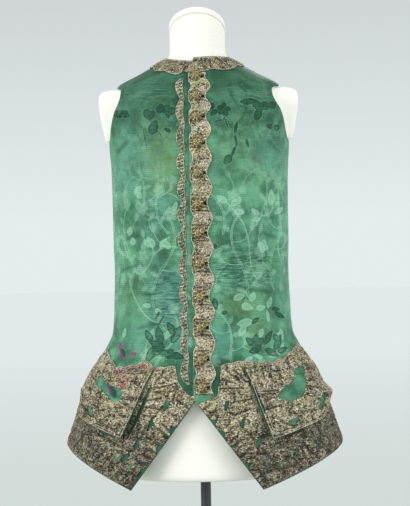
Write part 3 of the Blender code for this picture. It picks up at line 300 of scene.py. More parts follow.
# Folds pressed into the laces: x, height, end x, end height, width and rise
LEFT_LACE_CREASES = mm((
    (38.4, 499.4, 72.4, 471.2, 2, -1.8), (31.8, 484, 69.9, 467.4, 1.8, -1.6),
    (52.6, 499.4, 76.3, 476.3, 1.8, -1.8), (68, 504.5, 78.2, 481.5, 1.8, -1.4),
    (44, 495, 64, 485, 2.2, 1.2), (34, 476, 64, 470, 2.2, 1.2), (31.5, 466.1, 74.9, 465.6, 1.8, -1.8),
    (31.4, 455.9, 69.8, 458.4, 1.6, -1.2), (43.9, 440.6, 82.3, 444.4, 1.8, -1.6),
    (47.4, 417.5, 87, 429, 2, -1.6), (46, 450, 80, 453, 3, 1.2), (81.8, 501.9, 82, 468.7, 1.6, -2),
    (78, 501.9, 78, 470, 1.6, 1.2), (94, 458.4, 129.8, 457.9, 1.6, -2), (96, 454, 125, 453, 1.4, -1.4),
    (105.1, 425.2, 135.8, 432.9, 2, -1.8), (88.3, 501.9, 95.8, 478.9, 1.6, -1.4),
    (103.8, 504.5, 106, 478.9, 1.8, -1.6), (121.6, 501.9, 116.3, 481.5, 1.8, -1.6),
    (130, 504, 136, 480, 3, -1.4), (40, 432.9, 64.5, 402.2, 2.6, -1.2),
    (64.5, 402.2, 94, 366.4, 2.6, -1.2), (94, 366.4, 116, 338, 2.6, -1.2),
    (150, 422, 172, 404, 2.4, -1.4), (126, 436, 130, 406, 3, 1.2), (180, 464, 206, 454, 2.6, -1.2),
    (186, 450, 196, 430, 2.8, 1.2), (124, 370, 190, 390, 3, -1.2), (110, 322, 210, 356, 2.6, -1),
    (150, 520, 156, 496, 2.6, -1.6),
))
RIGHT_LACE_CREASES = mm((
    (63.7, 506.5, 87.3, 475.8, 1.6, -2.4), (81.1, 468.2, 52.8, 474.6, 1.5, -2),
    (104.4, 455.4, 63.2, 470.7, 2.4, 1.4), (104, 460, 66, 462, 1.6, -1.6),
    (107, 445.2, 73.7, 450.3, 1.8, -1.8), (104.7, 434.9, 76.8, 429.8, 1.8, -1.6),
    (104, 440, 78, 440, 2.6, 1.2), (112, 422, 90, 416, 1.8, -1.4), (68.8, 438.8, 97, 409.4, 2.6, -1.2),
    (97, 409.4, 119.9, 371, 2.6, -1.2), (119.9, 371, 143.6, 342.9, 2.6, -1.2),
    (214.7, 434.9, 189.3, 409.4, 2.6, -1.8), (196, 426, 212, 408, 3, -1.4),
    (170, 516, 186, 486, 2.6, -1.2), (130, 488, 120, 450, 2.6, 1.2), (160, 436, 146, 410, 2.8, 1.2),
    (96, 496, 124, 492, 1.8, -1.2), (134, 356, 206, 390, 2.8, -1.2), (138, 316, 220, 370, 2.6, -1),
    (48, 464, 56, 446, 2, -1.4),
))
# Thin places where the silk shows between the threads: x, height, half width, half height, lean
# and strength
LACE_BARE = mm((
    (159, 344, 8, 5, -15, 0.9), (133, 328, 10, 4, -25, 0.9), (200, 356, 10, 5, -25, 0.8),
    (110, 330, 5, 8, 10, 0.6), (204, 430, 4, 12, 20, 0.8), (170, 366, 6, 4, 0, 0.7),
), 4)
# Height and how far the flat shoulder stands out past the armhole
FORM_LEVELS = mm((
    (303, None), (322, None), (360, None), (420, None), (480, None), (530, None), (564, None),
    (600, None), (650, None), (720, None), (810, None), (896, None), (913, None), (916, 171.2),
    (919, 172.9), (940, 177.8), (964, 182.2), (983, 184.2), (995, 184.2), (1003.5, 182.2), (1007.8, 177),
    (1010.5, 168), (1012, 157.5), (1013.2, None), (1023, None), (1032, None), (1043, None), (1054, None),
))
# A spray of the damask, drawn as a weaver would, from its foot. Flowers: x, y, radius and turn
SPRAY_FLOWERS = mm((
    (49, 66, 12.5, 0.3), (-36, 107, 9.5, 0.9), (13, 176, 11.5, 0.1), (-45, 44, 7, 0.6),
), 3)
# Buds and leaves: x, y, length, half width and direction
SPRAY_BUDS = mm((
    (36, 138, 20, 5.2, 60), (56, 104, 18, 4.6, 100), (50, 160, 15, 4, 120), (12, 28, 22, 4.2, 150),
    (10, 64, 20, 4, 20), (-8, 112, 20, 4, 170), (-6, 140, 18, 3.6, 130), (28, 44, 16, 3.4, -30),
    (-26, 86, 15, 3.2, 120),
), 4)
# The old stains: x, height, half width, half height, lean and strength
LACE_STAINS = mm((
    (148, 514, 6, 6, 0, 1), (133, 504, 8.5, 4, 0, 1), (110, 505, 8, 4, 0, 0.9),
    (140, 472, 4.6, 5.6, 0, 1), (156, 498, 6, 9, 0, 0.5), (142, 488, 18, 13, 10, 0.3),
    (170, 464, 5, 11, -30, 0.9), (150, 472, 3, 3, 0, 0.8), (90, 500, 12, 4, 0, 0.35),
    (150, 418, 12, 6, 20, 0.2),
), 4)
# The cloth's sections: height, half width, front depth, back depth, the back's own half width, and
# how square the front and the back are
BODY = mm((
    (260, 260, 134, 138, 212, 1.35, 1.85), (330, 257, 133, 136, 206, 1.36, 1.85),
    (357, 254.5, 132, 134.5, 203, 1.38, 1.86), (396, 242, 130, 131, 198, 1.42, 1.88),
    (433, 230, 127, 127.5, 192, 1.47, 1.9), (470, 219, 123, 123, 185, 1.54, 1.92),
    (496, 206, 120, 119, 180, 1.62, 1.95), (520, 189, 117, 114, 174, 1.75, 1.98),
    (540.5, 177, 114.5, 109, 170, 1.88, 2), (563, 166.5, 112, 104, 166.5, 2, 2.05),
    (590, 163.6, 110, 99, 163.6, 2.08, 2.1), (620, 162.5, 109.5, 95.5, 162.5, 2.12, 2.15),
    (664, 160.6, 110, 93.5, 160.6, 2.16, 2.2), (700, 160.3, 111.5, 94.5, 160.3, 2.18, 2.2),
    (750, 160.5, 114, 98.5, 160.5, 2.2, 2.2), (805, 160.8, 116, 103, 160.8, 2.22, 2.22),
    (849, 161.8, 116, 106, 161.8, 2.22, 2.22), (880, 164, 114, 106.5, 164, 2.22, 2.22),
    (905, 166, 112, 106, 166, 2.2, 2.2), (940, 165.8, 106.5, 103, 165.8, 2.16, 2.16),
    (970, 163.5, 100, 98, 163.5, 2.1, 2.1), (990, 160.5, 95, 94, 160.5, 2, 2),
    (1004, 155.5, 91, 90.5, 155.5, 1.92, 1.92), (1018, 148, 86.2, 86.2, 148, 1.84, 1.84),
    (1038.5, 110.9, 77.2, 79, 110.9, 1.8, 1.8), (1049.5, 90.9, 71.4, 74.2, 90.9, 1.84, 1.84),
    (1060, 71.9, 65, 69, 71.9, 1.92, 1.92), (1069.6, 54.8, 60.6, 64.5, 54.8, 2, 2),
    (1090, 54, 59.8, 60.6, 54, 2, 2),
), 5)
# Stems: start, bend, end and half the space between the two lines that draw it
SPRAY_STEMS = mm((
    ((0, 0), (30, 40), (4, 90), 1.6), ((4, 90), (-18, 132), (12, 168), 1.2),
    ((14, 34), (36, 40), (46, 62), 0), ((7, 80), (-22, 78), (-34, 102), 0),
    ((-3, 122), (22, 116), (36, 138), 0), ((-20, 83), (-42, 72), (-44, 50), 0),
    ((46, 62), (62, 80), (56, 104), 0), ((36, 138), (52, 142), (50, 160), 0),
))
# What each piece of silk shows. Stems: half the space between the lines, and points. Sprays: place
# along the cloth, height, turn, size and side. Leaves, painted dark or bright for the damask's sheen:
# x, height, length, half width and direction. The rest are soft spots: x, height, half width, half
# height, lean and strength
LEFT_SILK = shown_on_silk(
    stems=(
        (0.6, ((45, 800), (59, 784), (76, 760), (85, 730), (90, 682), (101, 658), (111, 676))),
        (0.5, ((100, 756), (108, 772), (121, 774), (131, 788), (128, 806))),
        (0.4, ((147, 846), (141, 810), (145, 752), (139, 716), (148, 680))),
        (1.6, ((50, 944), (60, 926), (78, 918), (86, 902))),
        (0.3, ((76, 862), (94, 852), (106, 858), (116, 846), (132, 838))),
    ),
    sprays=(
        (74, 606, 6, 1, 1), (150, 640, -10, 0.92, -1), (40, 742, 20, 0.86, 1), (118, 776, -4, 0.94, 1),
        (196, 800, 4, 0.8, -1), (212, 600, -6, 0.9, 1), (60, 880, -16, 0.76, -1), (62, 470, 10, 0.8, -1),
    ),
    dark=(
        (46, 965, 10, 4.6, 10), (45, 966, 10, 4.6, 82), (45, 965, 10, 4.6, 154), (45, 965, 10, 4.4, 226),
        (46, 964, 10, 4.4, 298), (44, 956, 26, 1.1, 290), (30, 970, 14, 5.2, 170), (33, 964, 13, 4, 220),
        (24, 942, 22, 1.2, 12), (69, 944, 22, 2.4, 258), (64, 924, 24, 1.8, 278),
        (66, 901, 22, 2.1, 248), (57, 882, 16, 5.8, 230), (84, 913, 16, 2.2, 286), (74, 979, 28, 4.6, 2),
        (96, 976, 24, 7, 340), (106, 968, 20, 6.6, 20), (110, 964, 16, 6, 250), (126, 968, 16, 5.6, 40),
        (136, 930, 10, 4.8, 30), (134, 933, 10, 4, 160), (86, 538, 24, 5.8, 28), (90, 534, 22, 5, 78),
        (94, 538, 20, 4.8, 136), (106, 536, 20, 5.2, 196), (108, 540, 24, 4.8, 56),
        (110, 534, 24, 4.8, 330), (128, 530, 24, 5.4, 64), (134, 526, 16, 4.6, 20),
        (136, 544, 14, 4.8, 116), (34, 600, 10, 3.2, 10), (88, 579, 14, 3.4, 40),
        (130, 598, 18, 3.6, 330), (124, 606, 14, 3, 350), (21, 628, 18, 4.4, 280), (22, 725, 10, 3, 300),
    ),
    bright=(
        (133, 544, 20, 3.6, 74), (145, 548, 20, 3.4, 108), (118, 519, 22, 4.2, 16),
        (108, 517, 18, 3.6, 160), (136, 524, 20, 3.4, 60), (90, 520, 16, 3.4, 200),
        (56, 624, 20, 5.6, 20), (70, 614, 20, 6, 340), (86, 620, 16, 5.6, 60), (96, 606, 16, 5, 10),
        (118, 606, 20, 4.4, 70), (118, 580, 22, 3, 96), (90, 584, 26, 6.8, 190), (76, 576, 20, 5.8, 240),
        (108, 570, 16, 4.4, 250), (128, 792, 26, 5.6, 88), (134, 776, 18, 4.2, 40),
        (48, 798, 20, 6, 150), (112, 719, 11, 5, 80), (112, 718, 11, 5, 150), (112, 717, 10, 5, 250),
        (112, 718, 10, 4.6, 330), (108, 768, 16, 4, 190), (106, 774, 18, 4, 140), (56, 792, 18, 5.6, 40),
        (60, 782, 18, 5.6, 350), (66, 794, 14, 5, 70),
    ),
    shade=(
        (108, 1023, 42, 8, -25, 0.85), (100, 1003, 36, 4.2, -4, 0.75), (82, 982, 40, 6, 2, 0.65),
        (113, 972, 24, 9, -6, 0.75), (80, 950, 70, 30, 0, 0.22), (26, 860, 14, 16, 0, 0.4),
        (150, 950, 10, 30, 12, 0.4), (90, 700, 60, 34, 0, 0.26), (80, 590, 60, 20, 0, 0.22),
        (150, 660, 12, 50, 0, 0.3), (24, 476, 18, 40, 0, 0.9), (40, 514, 30, 7, 0, 0.6),
        (130, 956, 22, 16, 10, 0.6), (50, 964, 24, 12, 0, 0.42), (144, 915, 10, 24, 14, 0.45),
    ),
    light=(
        (72, 1017, 40, 7.6, -3, 0.5), (110, 996, 12, 2.2, -3, 0.9), (94, 990, 20, 2, 6, 0.4),
        (125, 895, 18, 28, 0, 0.4), (60, 880, 30, 24, 0, 0.22), (46, 806, 22, 20, 0, 0.5),
        (130, 790, 18, 26, 0, 0.5), (90, 830, 40, 30, 0, 0.26), (150, 800, 8, 90, 0, 0.5),
        (110, 720, 12, 16, 0, 0.5),
    ),
    warm=(
        (56, 1010, 26, 18, 0, 0.55), (80, 900, 50, 50, 0, 0.25), (76, 612, 32, 20, 0, 0.7),
        (90, 570, 30, 18, 0, 0.5),
    ),
    cool=((124, 896, 22, 30, 0, 0.55), (39, 550, 26, 24, 0, 0.6), (50, 664, 30, 20, 0, 0.4)),
    crumple=((70, 676, 58, 36, 0, 1), (100, 1000, 60, 18, -6, 0.7)),
    # Painted shadow in a gap of the skirt lace
    blot=((119, 398, 6, 18, 15, 0.8),),
)
RIGHT_SILK = shown_on_silk(
    stems=(
        (0.7, (
            (149, 716), (144, 710), (131, 701), (122, 686), (116, 674), (104, 677), (92, 692), (83, 709),
            (62, 721), (41, 718),
        )),
        (0.6, ((120, 682), (129, 664), (129, 650), (117, 620), (94, 590), (70, 584))),
        (0.4, ((86, 704), (88, 722), (96, 734))), (0.4, ((74, 716), (66, 732), (56, 737))),
        (0.3, ((131, 701), (138, 722), (141, 744))),
        (1.5, ((120, 905), (104, 912), (98, 930), (112, 944))),
        (0.3, ((142, 880), (118, 884), (104, 902), (112, 924), (130, 928))),
    ),
    sprays=(
        (86, 596, 14, 1.05, 1), (152, 640, -6, 0.9, -1), (60, 745, -12, 0.84, 1), (128, 770, 8, 0.9, -1),
        (198, 790, 4, 0.8, 1), (214, 600, -6, 0.9, -1), (74, 860, 20, 0.72, 1), (66, 470, 10, 0.8, 1),
    ),
    dark=(
        (60, 976, 16, 7.4, 250), (56, 966, 14, 6.2, 190), (54, 950, 18, 4, 80), (76, 972, 14, 7.2, 200),
        (80, 966, 16, 5, 300), (96, 970, 18, 5.8, 250), (126, 966, 24, 5.2, 350),
        (124, 958, 22, 4.4, 20), (144, 962, 10, 5.2, 40), (84, 944, 34, 1.1, 236),
        (100, 936, 40, 1.1, 262), (86, 922, 22, 7.2, 110), (86, 542, 26, 6.2, 300),
        (82, 536, 24, 5.8, 210), (74, 546, 26, 6.2, 80), (68, 540, 24, 5.6, 20), (56, 548, 28, 6.4, 120),
        (52, 536, 20, 5.6, 330), (62, 528, 24, 5.2, 190), (76, 524, 20, 4.8, 160),
        (48, 560, 24, 5.4, 60), (90, 550, 20, 5, 60), (94, 534, 16, 4.4, 200), (148, 538, 14, 3.4, 250),
        (76, 606, 14, 2.2, 300), (66, 602, 30, 1.4, 302), (50, 926, 12, 3, 30),
    ),
    bright=(
        (52, 568, 16, 5.2, 340), (40, 560, 18, 4.4, 100), (62, 556, 12, 4.4, 40), (96, 720, 17, 6.4, 96),
        (88, 718, 17, 6, 84), (130, 742, 15, 4.8, 100), (122, 724, 14, 4.8, 80), (74, 720, 18, 5, 130),
        (56, 716, 16, 5.2, 60), (118, 816, 18, 5.6, 130), (106, 808, 18, 5, 60), (48, 784, 16, 4, 110),
        (92, 614, 14, 4.2, 10), (86, 608, 12, 4, 200), (145, 556, 18, 3.2, 110),
    ),
    shade=(
        (90, 1013, 58, 13, -25, 0.8), (86, 1022, 20, 6, -25, 0.8), (100, 986, 60, 7, -8, 0.6),
        (90, 970, 70, 18, 0, 0.4), (130, 930, 30, 40, 8, 0.25), (80, 696, 40, 16, 0, 0.35),
        (122, 776, 36, 24, 0, 0.35), (70, 630, 20, 36, 0, 0.3), (130, 650, 30, 30, 0, 0.25),
        (30, 840, 10, 50, 0, 0.3), (26, 480, 24, 40, 0, 0.95), (56, 506, 30, 8, 0, 0.7),
        (130, 962, 24, 9, 0, 0.5), (64, 970, 28, 11, 0, 0.5),
    ),
    light=(
        (60, 992, 22, 3, 8, 0.4), (108, 1003, 26, 2.2, -20, 0.45), (120, 890, 34, 40, 0, 0.4),
        (126, 820, 16, 20, 0, 0.5), (90, 850, 34, 40, 0, 0.35), (152, 860, 8, 90, 0, 0.45),
        (150, 720, 8, 60, 0, 0.4), (110, 556, 40, 18, 0, 0.35),
    ),
    warm=(
        (64, 872, 28, 52, 0, 0.95), (56, 830, 18, 14, 0, 0.6), (64, 986, 26, 8, 0, 0.35),
        (128, 640, 24, 24, 0, 0.4),
    ),
    cool=(
        (64, 624, 30, 46, 0, 1), (72, 786, 34, 26, 0, 0.6), (100, 560, 40, 20, 0, 0.6),
        (130, 880, 22, 60, 0, 0.5), (36, 550, 16, 30, 0, 0.7),
    ),
    crumple=((64, 626, 34, 46, 0, 1), (70, 790, 40, 26, 0, 0.4), (100, 1000, 60, 18, -6, 0.7)),
    # Painted shadow in the opening of the lace beside the flap's front edge, where the flap stands off the
    # silk
    blot=((120, 420, 7, 48, 25, 1), (96, 462, 3, 12, 25, 0.5)),
    stain=(
        (150, 540, 3.6, 9, 6, 1), (148, 525, 3.6, 7.5, -4, 0.9), (125.5, 529, 6.2, 3.8, 0, 1),
        (124.5, 538, 2.2, 4, 0, 0.7), (106, 531, 3.4, 2.2, 0, 0.6), (136, 519, 4, 2.4, 0, 0.7),
    ),
)
BACK_SILK = shown_on_silk(
    sprays=(
        (36, 380, 8, 0.95, 1), (110, 350, -8, 1, -1), (186, 390, 6, 0.9, 1), (60, 560, -10, 0.9, -1),
        (136, 540, 10, 0.95, 1), (208, 590, -4, 0.9, -1), (40, 730, 12, 0.9, 1),
        (116, 740, -6, 0.95, -1), (190, 770, 6, 0.85, 1), (70, 890, -12, 0.8, -1),
    ),
    shade=(
        (100, 1010, 52, 8, -22, 0.6), (90, 976, 60, 8, -6, 0.4), (90, 610, 60, 12, -4, 0.4),
        (120, 760, 30, 90, 0, 0.2),
    ),
    light=(
        (70, 990, 40, 6, 4, 0.4), (80, 840, 34, 70, 0, 0.3), (90, 640, 50, 10, -6, 0.3),
        (80, 420, 30, 50, 0, 0.3),
    ),
    warm=((90, 880, 40, 50, 0, 0.4), (50, 460, 40, 40, 0, 0.4)),
    cool=((80, 600, 50, 40, 0, 0.5), (120, 400, 30, 40, 0, 0.4)),
    crumple=((70, 610, 60, 40, 0, 0.9), (80, 1000, 60, 16, -6, 0.6)),
)
# Painted shade over the left flap, and painted shadow by its front edge
LEFT_FLAP_SILK = shown_on_silk(shade=((150, 440, 80, 60, 0, 0.25),), blot=((93, 445, 9, 34, 20, 0.9),))
RIGHT_FLAP_SILK = shown_on_silk(
    # Dark patches and a pink stain on the right flap's bare silk, and a painted highlight
    stain=((166, 464, 3, 10, -30, 0.8), (170, 472, 3, 4, 0, 0.8)),
    blot=((160, 460, 6, 13, -30, 1.0), (149, 450, 5, 5, 0, 0.4)), light=((185, 472, 4, 12, 20, 0.9),),
)

# All that differs between the two fronts. The seeds are for the pleats and curls of the skirt's
# lace and then of the flap's, for the flap's sag and for the neck lace.
Front = namedtuple("Front", (
    "side word rows folds creases silk flap corner_lift flap_silk skirt_top skirt_inner skirt_gaps notches "
    "flap_gaps lace_creases stains neck_lace_x skirt_seeds flap_seeds sag_seed neck_seed silk_place "
    "flap_place"
))
LEFT = Front(
    side=1, word="left", rows=LEFT_ROWS, folds=LEFT_FOLDS, creases=LEFT_CREASES, silk=LEFT_SILK,
    flap=LEFT_FLAP, corner_lift=0.0130, flap_silk=LEFT_FLAP_SILK,
    skirt_top=LEFT_SKIRT_TOP, skirt_inner=LEFT_SKIRT_INNER, skirt_gaps=LEFT_SKIRT_OPENINGS,
    notches=(0.4060, 0.3860, 0.3270), flap_gaps=(*LEFT_FLAP_OPENINGS, LEFT_FLAP_SLOT),
    lace_creases=LEFT_LACE_CREASES, stains=(),
    neck_lace_x=(-0.0060, -0.0140), skirt_seeds=(7, 12, 101), flap_seeds=(21, 28, 161), sag_seed=5,
    neck_seed=271, silk_place=0.0, flap_place=2.8,
)
RIGHT = Front(
    side=-1, word="right", rows=RIGHT_ROWS, folds=RIGHT_FOLDS, creases=RIGHT_CREASES, silk=RIGHT_SILK,
    flap=RIGHT_FLAP, corner_lift=0.0050, flap_silk=RIGHT_FLAP_SILK,
    skirt_top=RIGHT_SKIRT_TOP, skirt_inner=RIGHT_SKIRT_INNER, skirt_gaps=RIGHT_SKIRT_OPENINGS,
    notches=(0.3940, 0.3600, 0.3200), flap_gaps=(*RIGHT_FLAP_OPENINGS, RIGHT_FLAP_SLOT),
    lace_creases=RIGHT_LACE_CREASES,
    stains=LACE_STAINS, neck_lace_x=(0.0112, 0.0205), skirt_seeds=(9, 15, 131), flap_seeds=(25, 33, 191),
    sag_seed=8, neck_seed=291, silk_place=0.7, flap_place=3.5,
)
FRONTS = (LEFT, RIGHT)


def ease(share):
    """0 to 1 with level ends."""
    share = np.clip(share, 0.0, 1.0)
    return share * share * (3 - 2 * share)


def mix(a, b, share):
    return a + (b - a) * share


def unit(vectors):
    return vectors / np.linalg.norm(vectors, axis=-1, keepdims=True)


def bell(away, width):
    """1 at nought, and fading to each side."""
    return np.exp(-((away / width) ** 2))


def running(steps):
    """The sum of the steps before each place."""
    return np.concatenate([[0.0], np.cumsum(steps)])


def line_of(x, y):
    return np.stack([x, y], 1)


def curve_through(heights, values, straight_from=None):
    """A smooth curve that never swings past its table, straight from one entry on if asked."""
    spans = np.diff(heights)
    steps = np.diff(values) / spans
    product = steps[:-1] * steps[1:]
    total = np.where(product > 0, steps[:-1] + steps[1:], 1.0)
    slopes = np.concatenate([steps[:1], np.where(product > 0, 2 * product / total, 0.0), steps[-1:]])

    def at(place):
        place = np.clip(place, heights[0], heights[-1])
        i = np.clip(np.searchsorted(heights, place, side="right") - 1, 0, len(spans) - 1)
        t = (place - heights[i]) / spans[i]
        smooth = values[i] * (1 + 2 * t) * (1 - t) ** 2 + values[i + 1] * t * t * (3 - 2 * t)
        smooth = smooth + spans[i] * t * (1 - t) * (slopes[i] * (1 - t) - slopes[i + 1] * t)
        if straight_from is None:
            return smooth
        return np.where(place >= straight_from, mix(values[i], values[i + 1], t), smooth)

    return at


def curves_of(table):
    columns = np.array(table).T
    return [curve_through(columns[0], column) for column in columns]


BODY_CURVES, HIP_CURVES = curves_of(BODY), curves_of(HIPS)


def body_points(angle, height, back=False):
    """The cloth's outer face. Angle 0 is the front, 90 the left side and 180 the back."""
    turn, ahead = np.radians(angle), np.cos(np.radians(angle))
    width = BODY_CURVES[4 if back else 1](height)
    front = -BODY_CURVES[2](height) * np.maximum(ahead, 0) ** (2 / BODY_CURVES[5](height))
    rear = BODY_CURVES[3](height) * np.maximum(-ahead, 0) ** (2 / BODY_CURVES[6](height))
    return np.stack([width * np.sin(turn), np.where(ahead >= 0, front, rear), height + 0 * turn], -1)


def body_normals(angle, height, back=False):
    across = body_points(angle + 1, height, back) - body_points(angle - 1, height, back)
    up = body_points(angle, height + 0.002, back) - body_points(angle, height - 0.002, back)
    return unit(np.cross(across, up))


def angle_at(x, height):
    """The angle where the front's surface is x from the centre, seen from the front."""
    return np.degrees(np.arcsin(np.clip(x / BODY_CURVES[1](height), -1.0, 1.0)))


def x_at(angle, height):
    return BODY_CURVES[1](height) * np.sin(np.radians(angle))


def along_line(x, y, ax, ay, bx, by):
    """The nearest share along a straight line to each point, and how far the point is from there."""
    run_x, run_y = bx - ax, by - ay
    share = np.clip(((x - ax) * run_x + (y - ay) * run_y) / max(run_x**2 + run_y**2, 1e-14), 0, 1)
    return share, np.hypot(x - ax - share * run_x, y - ay - share * run_y)


def crease_rise(creases, x, height, end_run=0.25, end_share=0.15, flank=0.0):
    """How far the folds and creases lift the cloth: each is a soft ridge along its line.

    With a flank, a trough has a ridge on each side of it.
    """
    rise = np.zeros(np.broadcast(x, height).shape)
    for *ends, width, top in creases:
        share, away = along_line(x, height, *ends)
        off = (away / width) ** 2
        fade = ease(np.minimum(share, 1 - share) / end_run + end_share)
        rise += top * fade * (1 - flank * off) * np.exp(-off / (1 + flank))
    return rise


def lifted(side, angle, height, lift, back=False):
    """Points off the body, and their normals. Side is 1 for the left and -1 for the right."""
    normals = body_normals(angle, height, back)
    points = body_points(angle, height, back) + normals * lift[..., None]
    mirror = np.array((side, 1, 1))
    return points * mirror, normals * mirror


def front_points(front, angle, height):
    x = x_at(angle, height)
    lift = crease_rise(front.folds, x, height)
    lift = lift + crease_rise(front.creases, x, height, 0.3, 0.0) * ease((x - 0.022) / 0.02)
    if front is LEFT:
        over = ease((OVERLAP + OVERLAP_FADE - x) / OVERLAP_FADE) * ease((height - 0.400) / 0.045)
        lift = lift + (CLOTH + OVERLAP_CLEARANCE) * over
    return lifted(front.side, angle, height, lift)


def on_front(front, flat):
    """Points and normals on a front at flat points."""
    return front_points(front, flat[:, 0] / ARC, flat[:, 1])


def row_height(edge_height, side_height, angle, edge, side):
    """The height along a row. Below the waist the rows run straighter, as the hem does."""
    share = (angle - edge) / (side - edge)
    turn, first, last = (np.sin(np.radians(a)) for a in (angle, edge, side))
    bent_share = mix(share, np.minimum((turn - first) / (last - first), 1.0), HEM_STRAIGHTNESS)
    return mix(edge_height, side_height, np.where(edge_height < WAIST_HEIGHT, bent_share, share))


def front_ends(rows):
    """For each row of a front: the angle and height at the closing, and those at the side."""
    ends = []
    for edge_x, edge_height, side_x, side_height in rows:
        if side_x is not None:
            side = angle_at(side_x, side_height)
        elif side_height >= SHOULDER_TIP_HEIGHT:
            side = 90.0 - SHOULDER_SEAM_ANGLE
        else:
            below = ease((WAIST_HEIGHT - side_height) / (WAIST_HEIGHT - BACK_HEM_HEIGHT))
            side = SIDE_SEAM_ANGLE - SEAM_ANGLE - SIDE_VENT_ANGLE * below
        full = SIDE_SEAM_ANGLE if edge_height > ARMHOLE_FOOT_HEIGHT else side
        ends.append((angle_at(edge_x, edge_height), edge_height, side, side_height, full))
    return np.array(ends, float)


def back_ends(rows):
    ends = []
    for centre_height, side_x, side_height in rows:
        centre = 180.0 - SEAM_ANGLE
        centre -= BACK_VENT_ANGLE * ease((BACK_VENT_HEIGHT - centre_height) / 0.16)
        if side_x is not None:
            seam = 180.0 - angle_at(side_x, side_height)
        elif side_height >= SHOULDER_TIP_HEIGHT:
            seam = 90.0 + SHOULDER_SEAM_ANGLE
        else:
            seam = SIDE_SEAM_ANGLE + SEAM_ANGLE
        ends.append((seam, side_height, centre, centre_height, 0.0))
    return np.array(ends, float)


def fine_rows(ends, pitch, straight_count=0):
    """Columns of rows set close together between the cut's own rows, along smooth edges."""
    steps = np.maximum(np.abs(np.diff(ends[:, 1])), np.abs(np.diff(ends[:, 3])))
    steps = np.hypot(steps, 0.35 * ARC * np.abs(np.diff(ends[:, 2])))
    run = running(steps)
    places = [
        np.linspace(start, end, max(2, math.ceil(step / pitch)), endpoint=False)
        for start, end, step in zip(run, run[1:], steps)
    ]
    places = np.concatenate([*places, run[-1:]])
    straight = run[-straight_count] if straight_count else None
    return (curve_through(run, column, straight)(places)[:, None] for column in ends.T)


def front_grid(rows, pitch, columns):
    """Angles and heights of a front's fine grid, row by row from the neck to the hem."""
    edge, edge_height, side, side_height, full = fine_rows(front_ends(rows), pitch, STRAIGHT_ROWS)
    share = np.linspace(0, 1, columns + 1)[None, :]
    steady = mix(edge, full, STEADY_SHARE)
    beyond = mix(steady, side, (share - STEADY_SHARE) / (1 - STEADY_SHARE))
    angle = np.where(share <= STEADY_SHARE, mix(edge, full, share), beyond)
    return angle, row_height(edge_height, side_height, angle, edge, side)


def back_grid(pitch, columns):
    seam, side_height, centre, centre_height, _ = fine_rows(back_ends(BACK_ROWS), pitch)
    share = np.linspace(0, 1, columns + 1)[None, :]
    return mix(seam, centre, share), mix(side_height, centre_height, share)


def hashed(i, j, seed):
    """A repeatable number from 0 to 1 for each pair of whole numbers."""
    value = (i.astype(np.int64) * 374761393 + j.astype(np.int64) * 668265263 + seed * 69069) & 0xFFFFFFFF
    for shift, factor in ((13, 1274126177), (16, 2246822519)):
        value = ((value ^ (value >> shift)) * factor) & 0xFFFFFFFF
    return ((value ^ (value >> 15)) & 0xFFFF) / 65535.0


def soft_noise(x, y, cell, seed):
    """Smooth noise from -1 to 1 with bumps about one cell apart."""
    i, j = np.floor(x / cell), np.floor(y / cell)
    a, b = ease(x / cell - i), ease(y / cell - j)
    low = mix(hashed(i, j, seed), hashed(i + 1, j, seed), a)
    high = mix(hashed(i, j + 1, seed), hashed(i + 1, j + 1, seed), a)
    return 2 * mix(low, high, b) - 1


def coils(x, y, pitch, seed):
    """Distance from each point's own coil, and the coil's number from 0 to 1."""
    i, j = np.floor(x / pitch), np.floor(y / pitch)
    nearest, number = np.full(x.shape, 9.0), np.zeros(x.shape)
    for di in (-1, 0, 1):
        for dj in (-1, 0, 1):
            cell = i + di, j + dj
            across, up = (c + 0.5 + 0.62 * (hashed(*cell, seed + 7 * k) - 0.5) for k, c in enumerate(cell))
            away = np.hypot(x / pitch - across, y / pitch - up)
            number = np.where(away < nearest, hashed(*cell, seed + 13), number)
            nearest = np.minimum(nearest, away)
    return nearest * pitch, number


def inside(x, y, loop):
    """Whether each flat point lies inside a closed line."""
    found = np.zeros(x.shape, bool)
    for (ax, ay), (bx, by) in zip(loop, np.roll(loop, -1, axis=0)):
        if ay != by:
            found ^= ((ay > y) != (by > y)) & (x < (bx - ax) * (y - ay) / (by - ay) + ax)
    return found


def grid_quads(rows, columns):
    a = (np.arange(rows - 1)[:, None] * columns + np.arange(columns - 1)[None, :]).ravel()
    return np.stack([a, a + 1, a + 1 + columns, a + columns], 1)


def ring_quads(rings, around):
    """The faces between rings of points, one ring after the other."""
    r, k = np.meshgrid(np.arange(rings - 1), np.arange(around), indexing="ij")
    low, high, beside = r * around, (r + 1) * around, (k + 1) % around
    return np.stack([low + k, low + beside, high + beside, high + k], -1).reshape(-1, 4)


def rim_edges(quads, count):
    """The edges that only one face has, in that face's direction."""
    ends = np.roll(quads, -1, axis=1)
    forward = (quads.astype(np.int64) * count + ends).ravel()
    backward = (ends.astype(np.int64) * count + quads).ravel()
    rim = ~np.isin(forward, backward)
    return quads.ravel()[rim], ends.ravel()[rim]


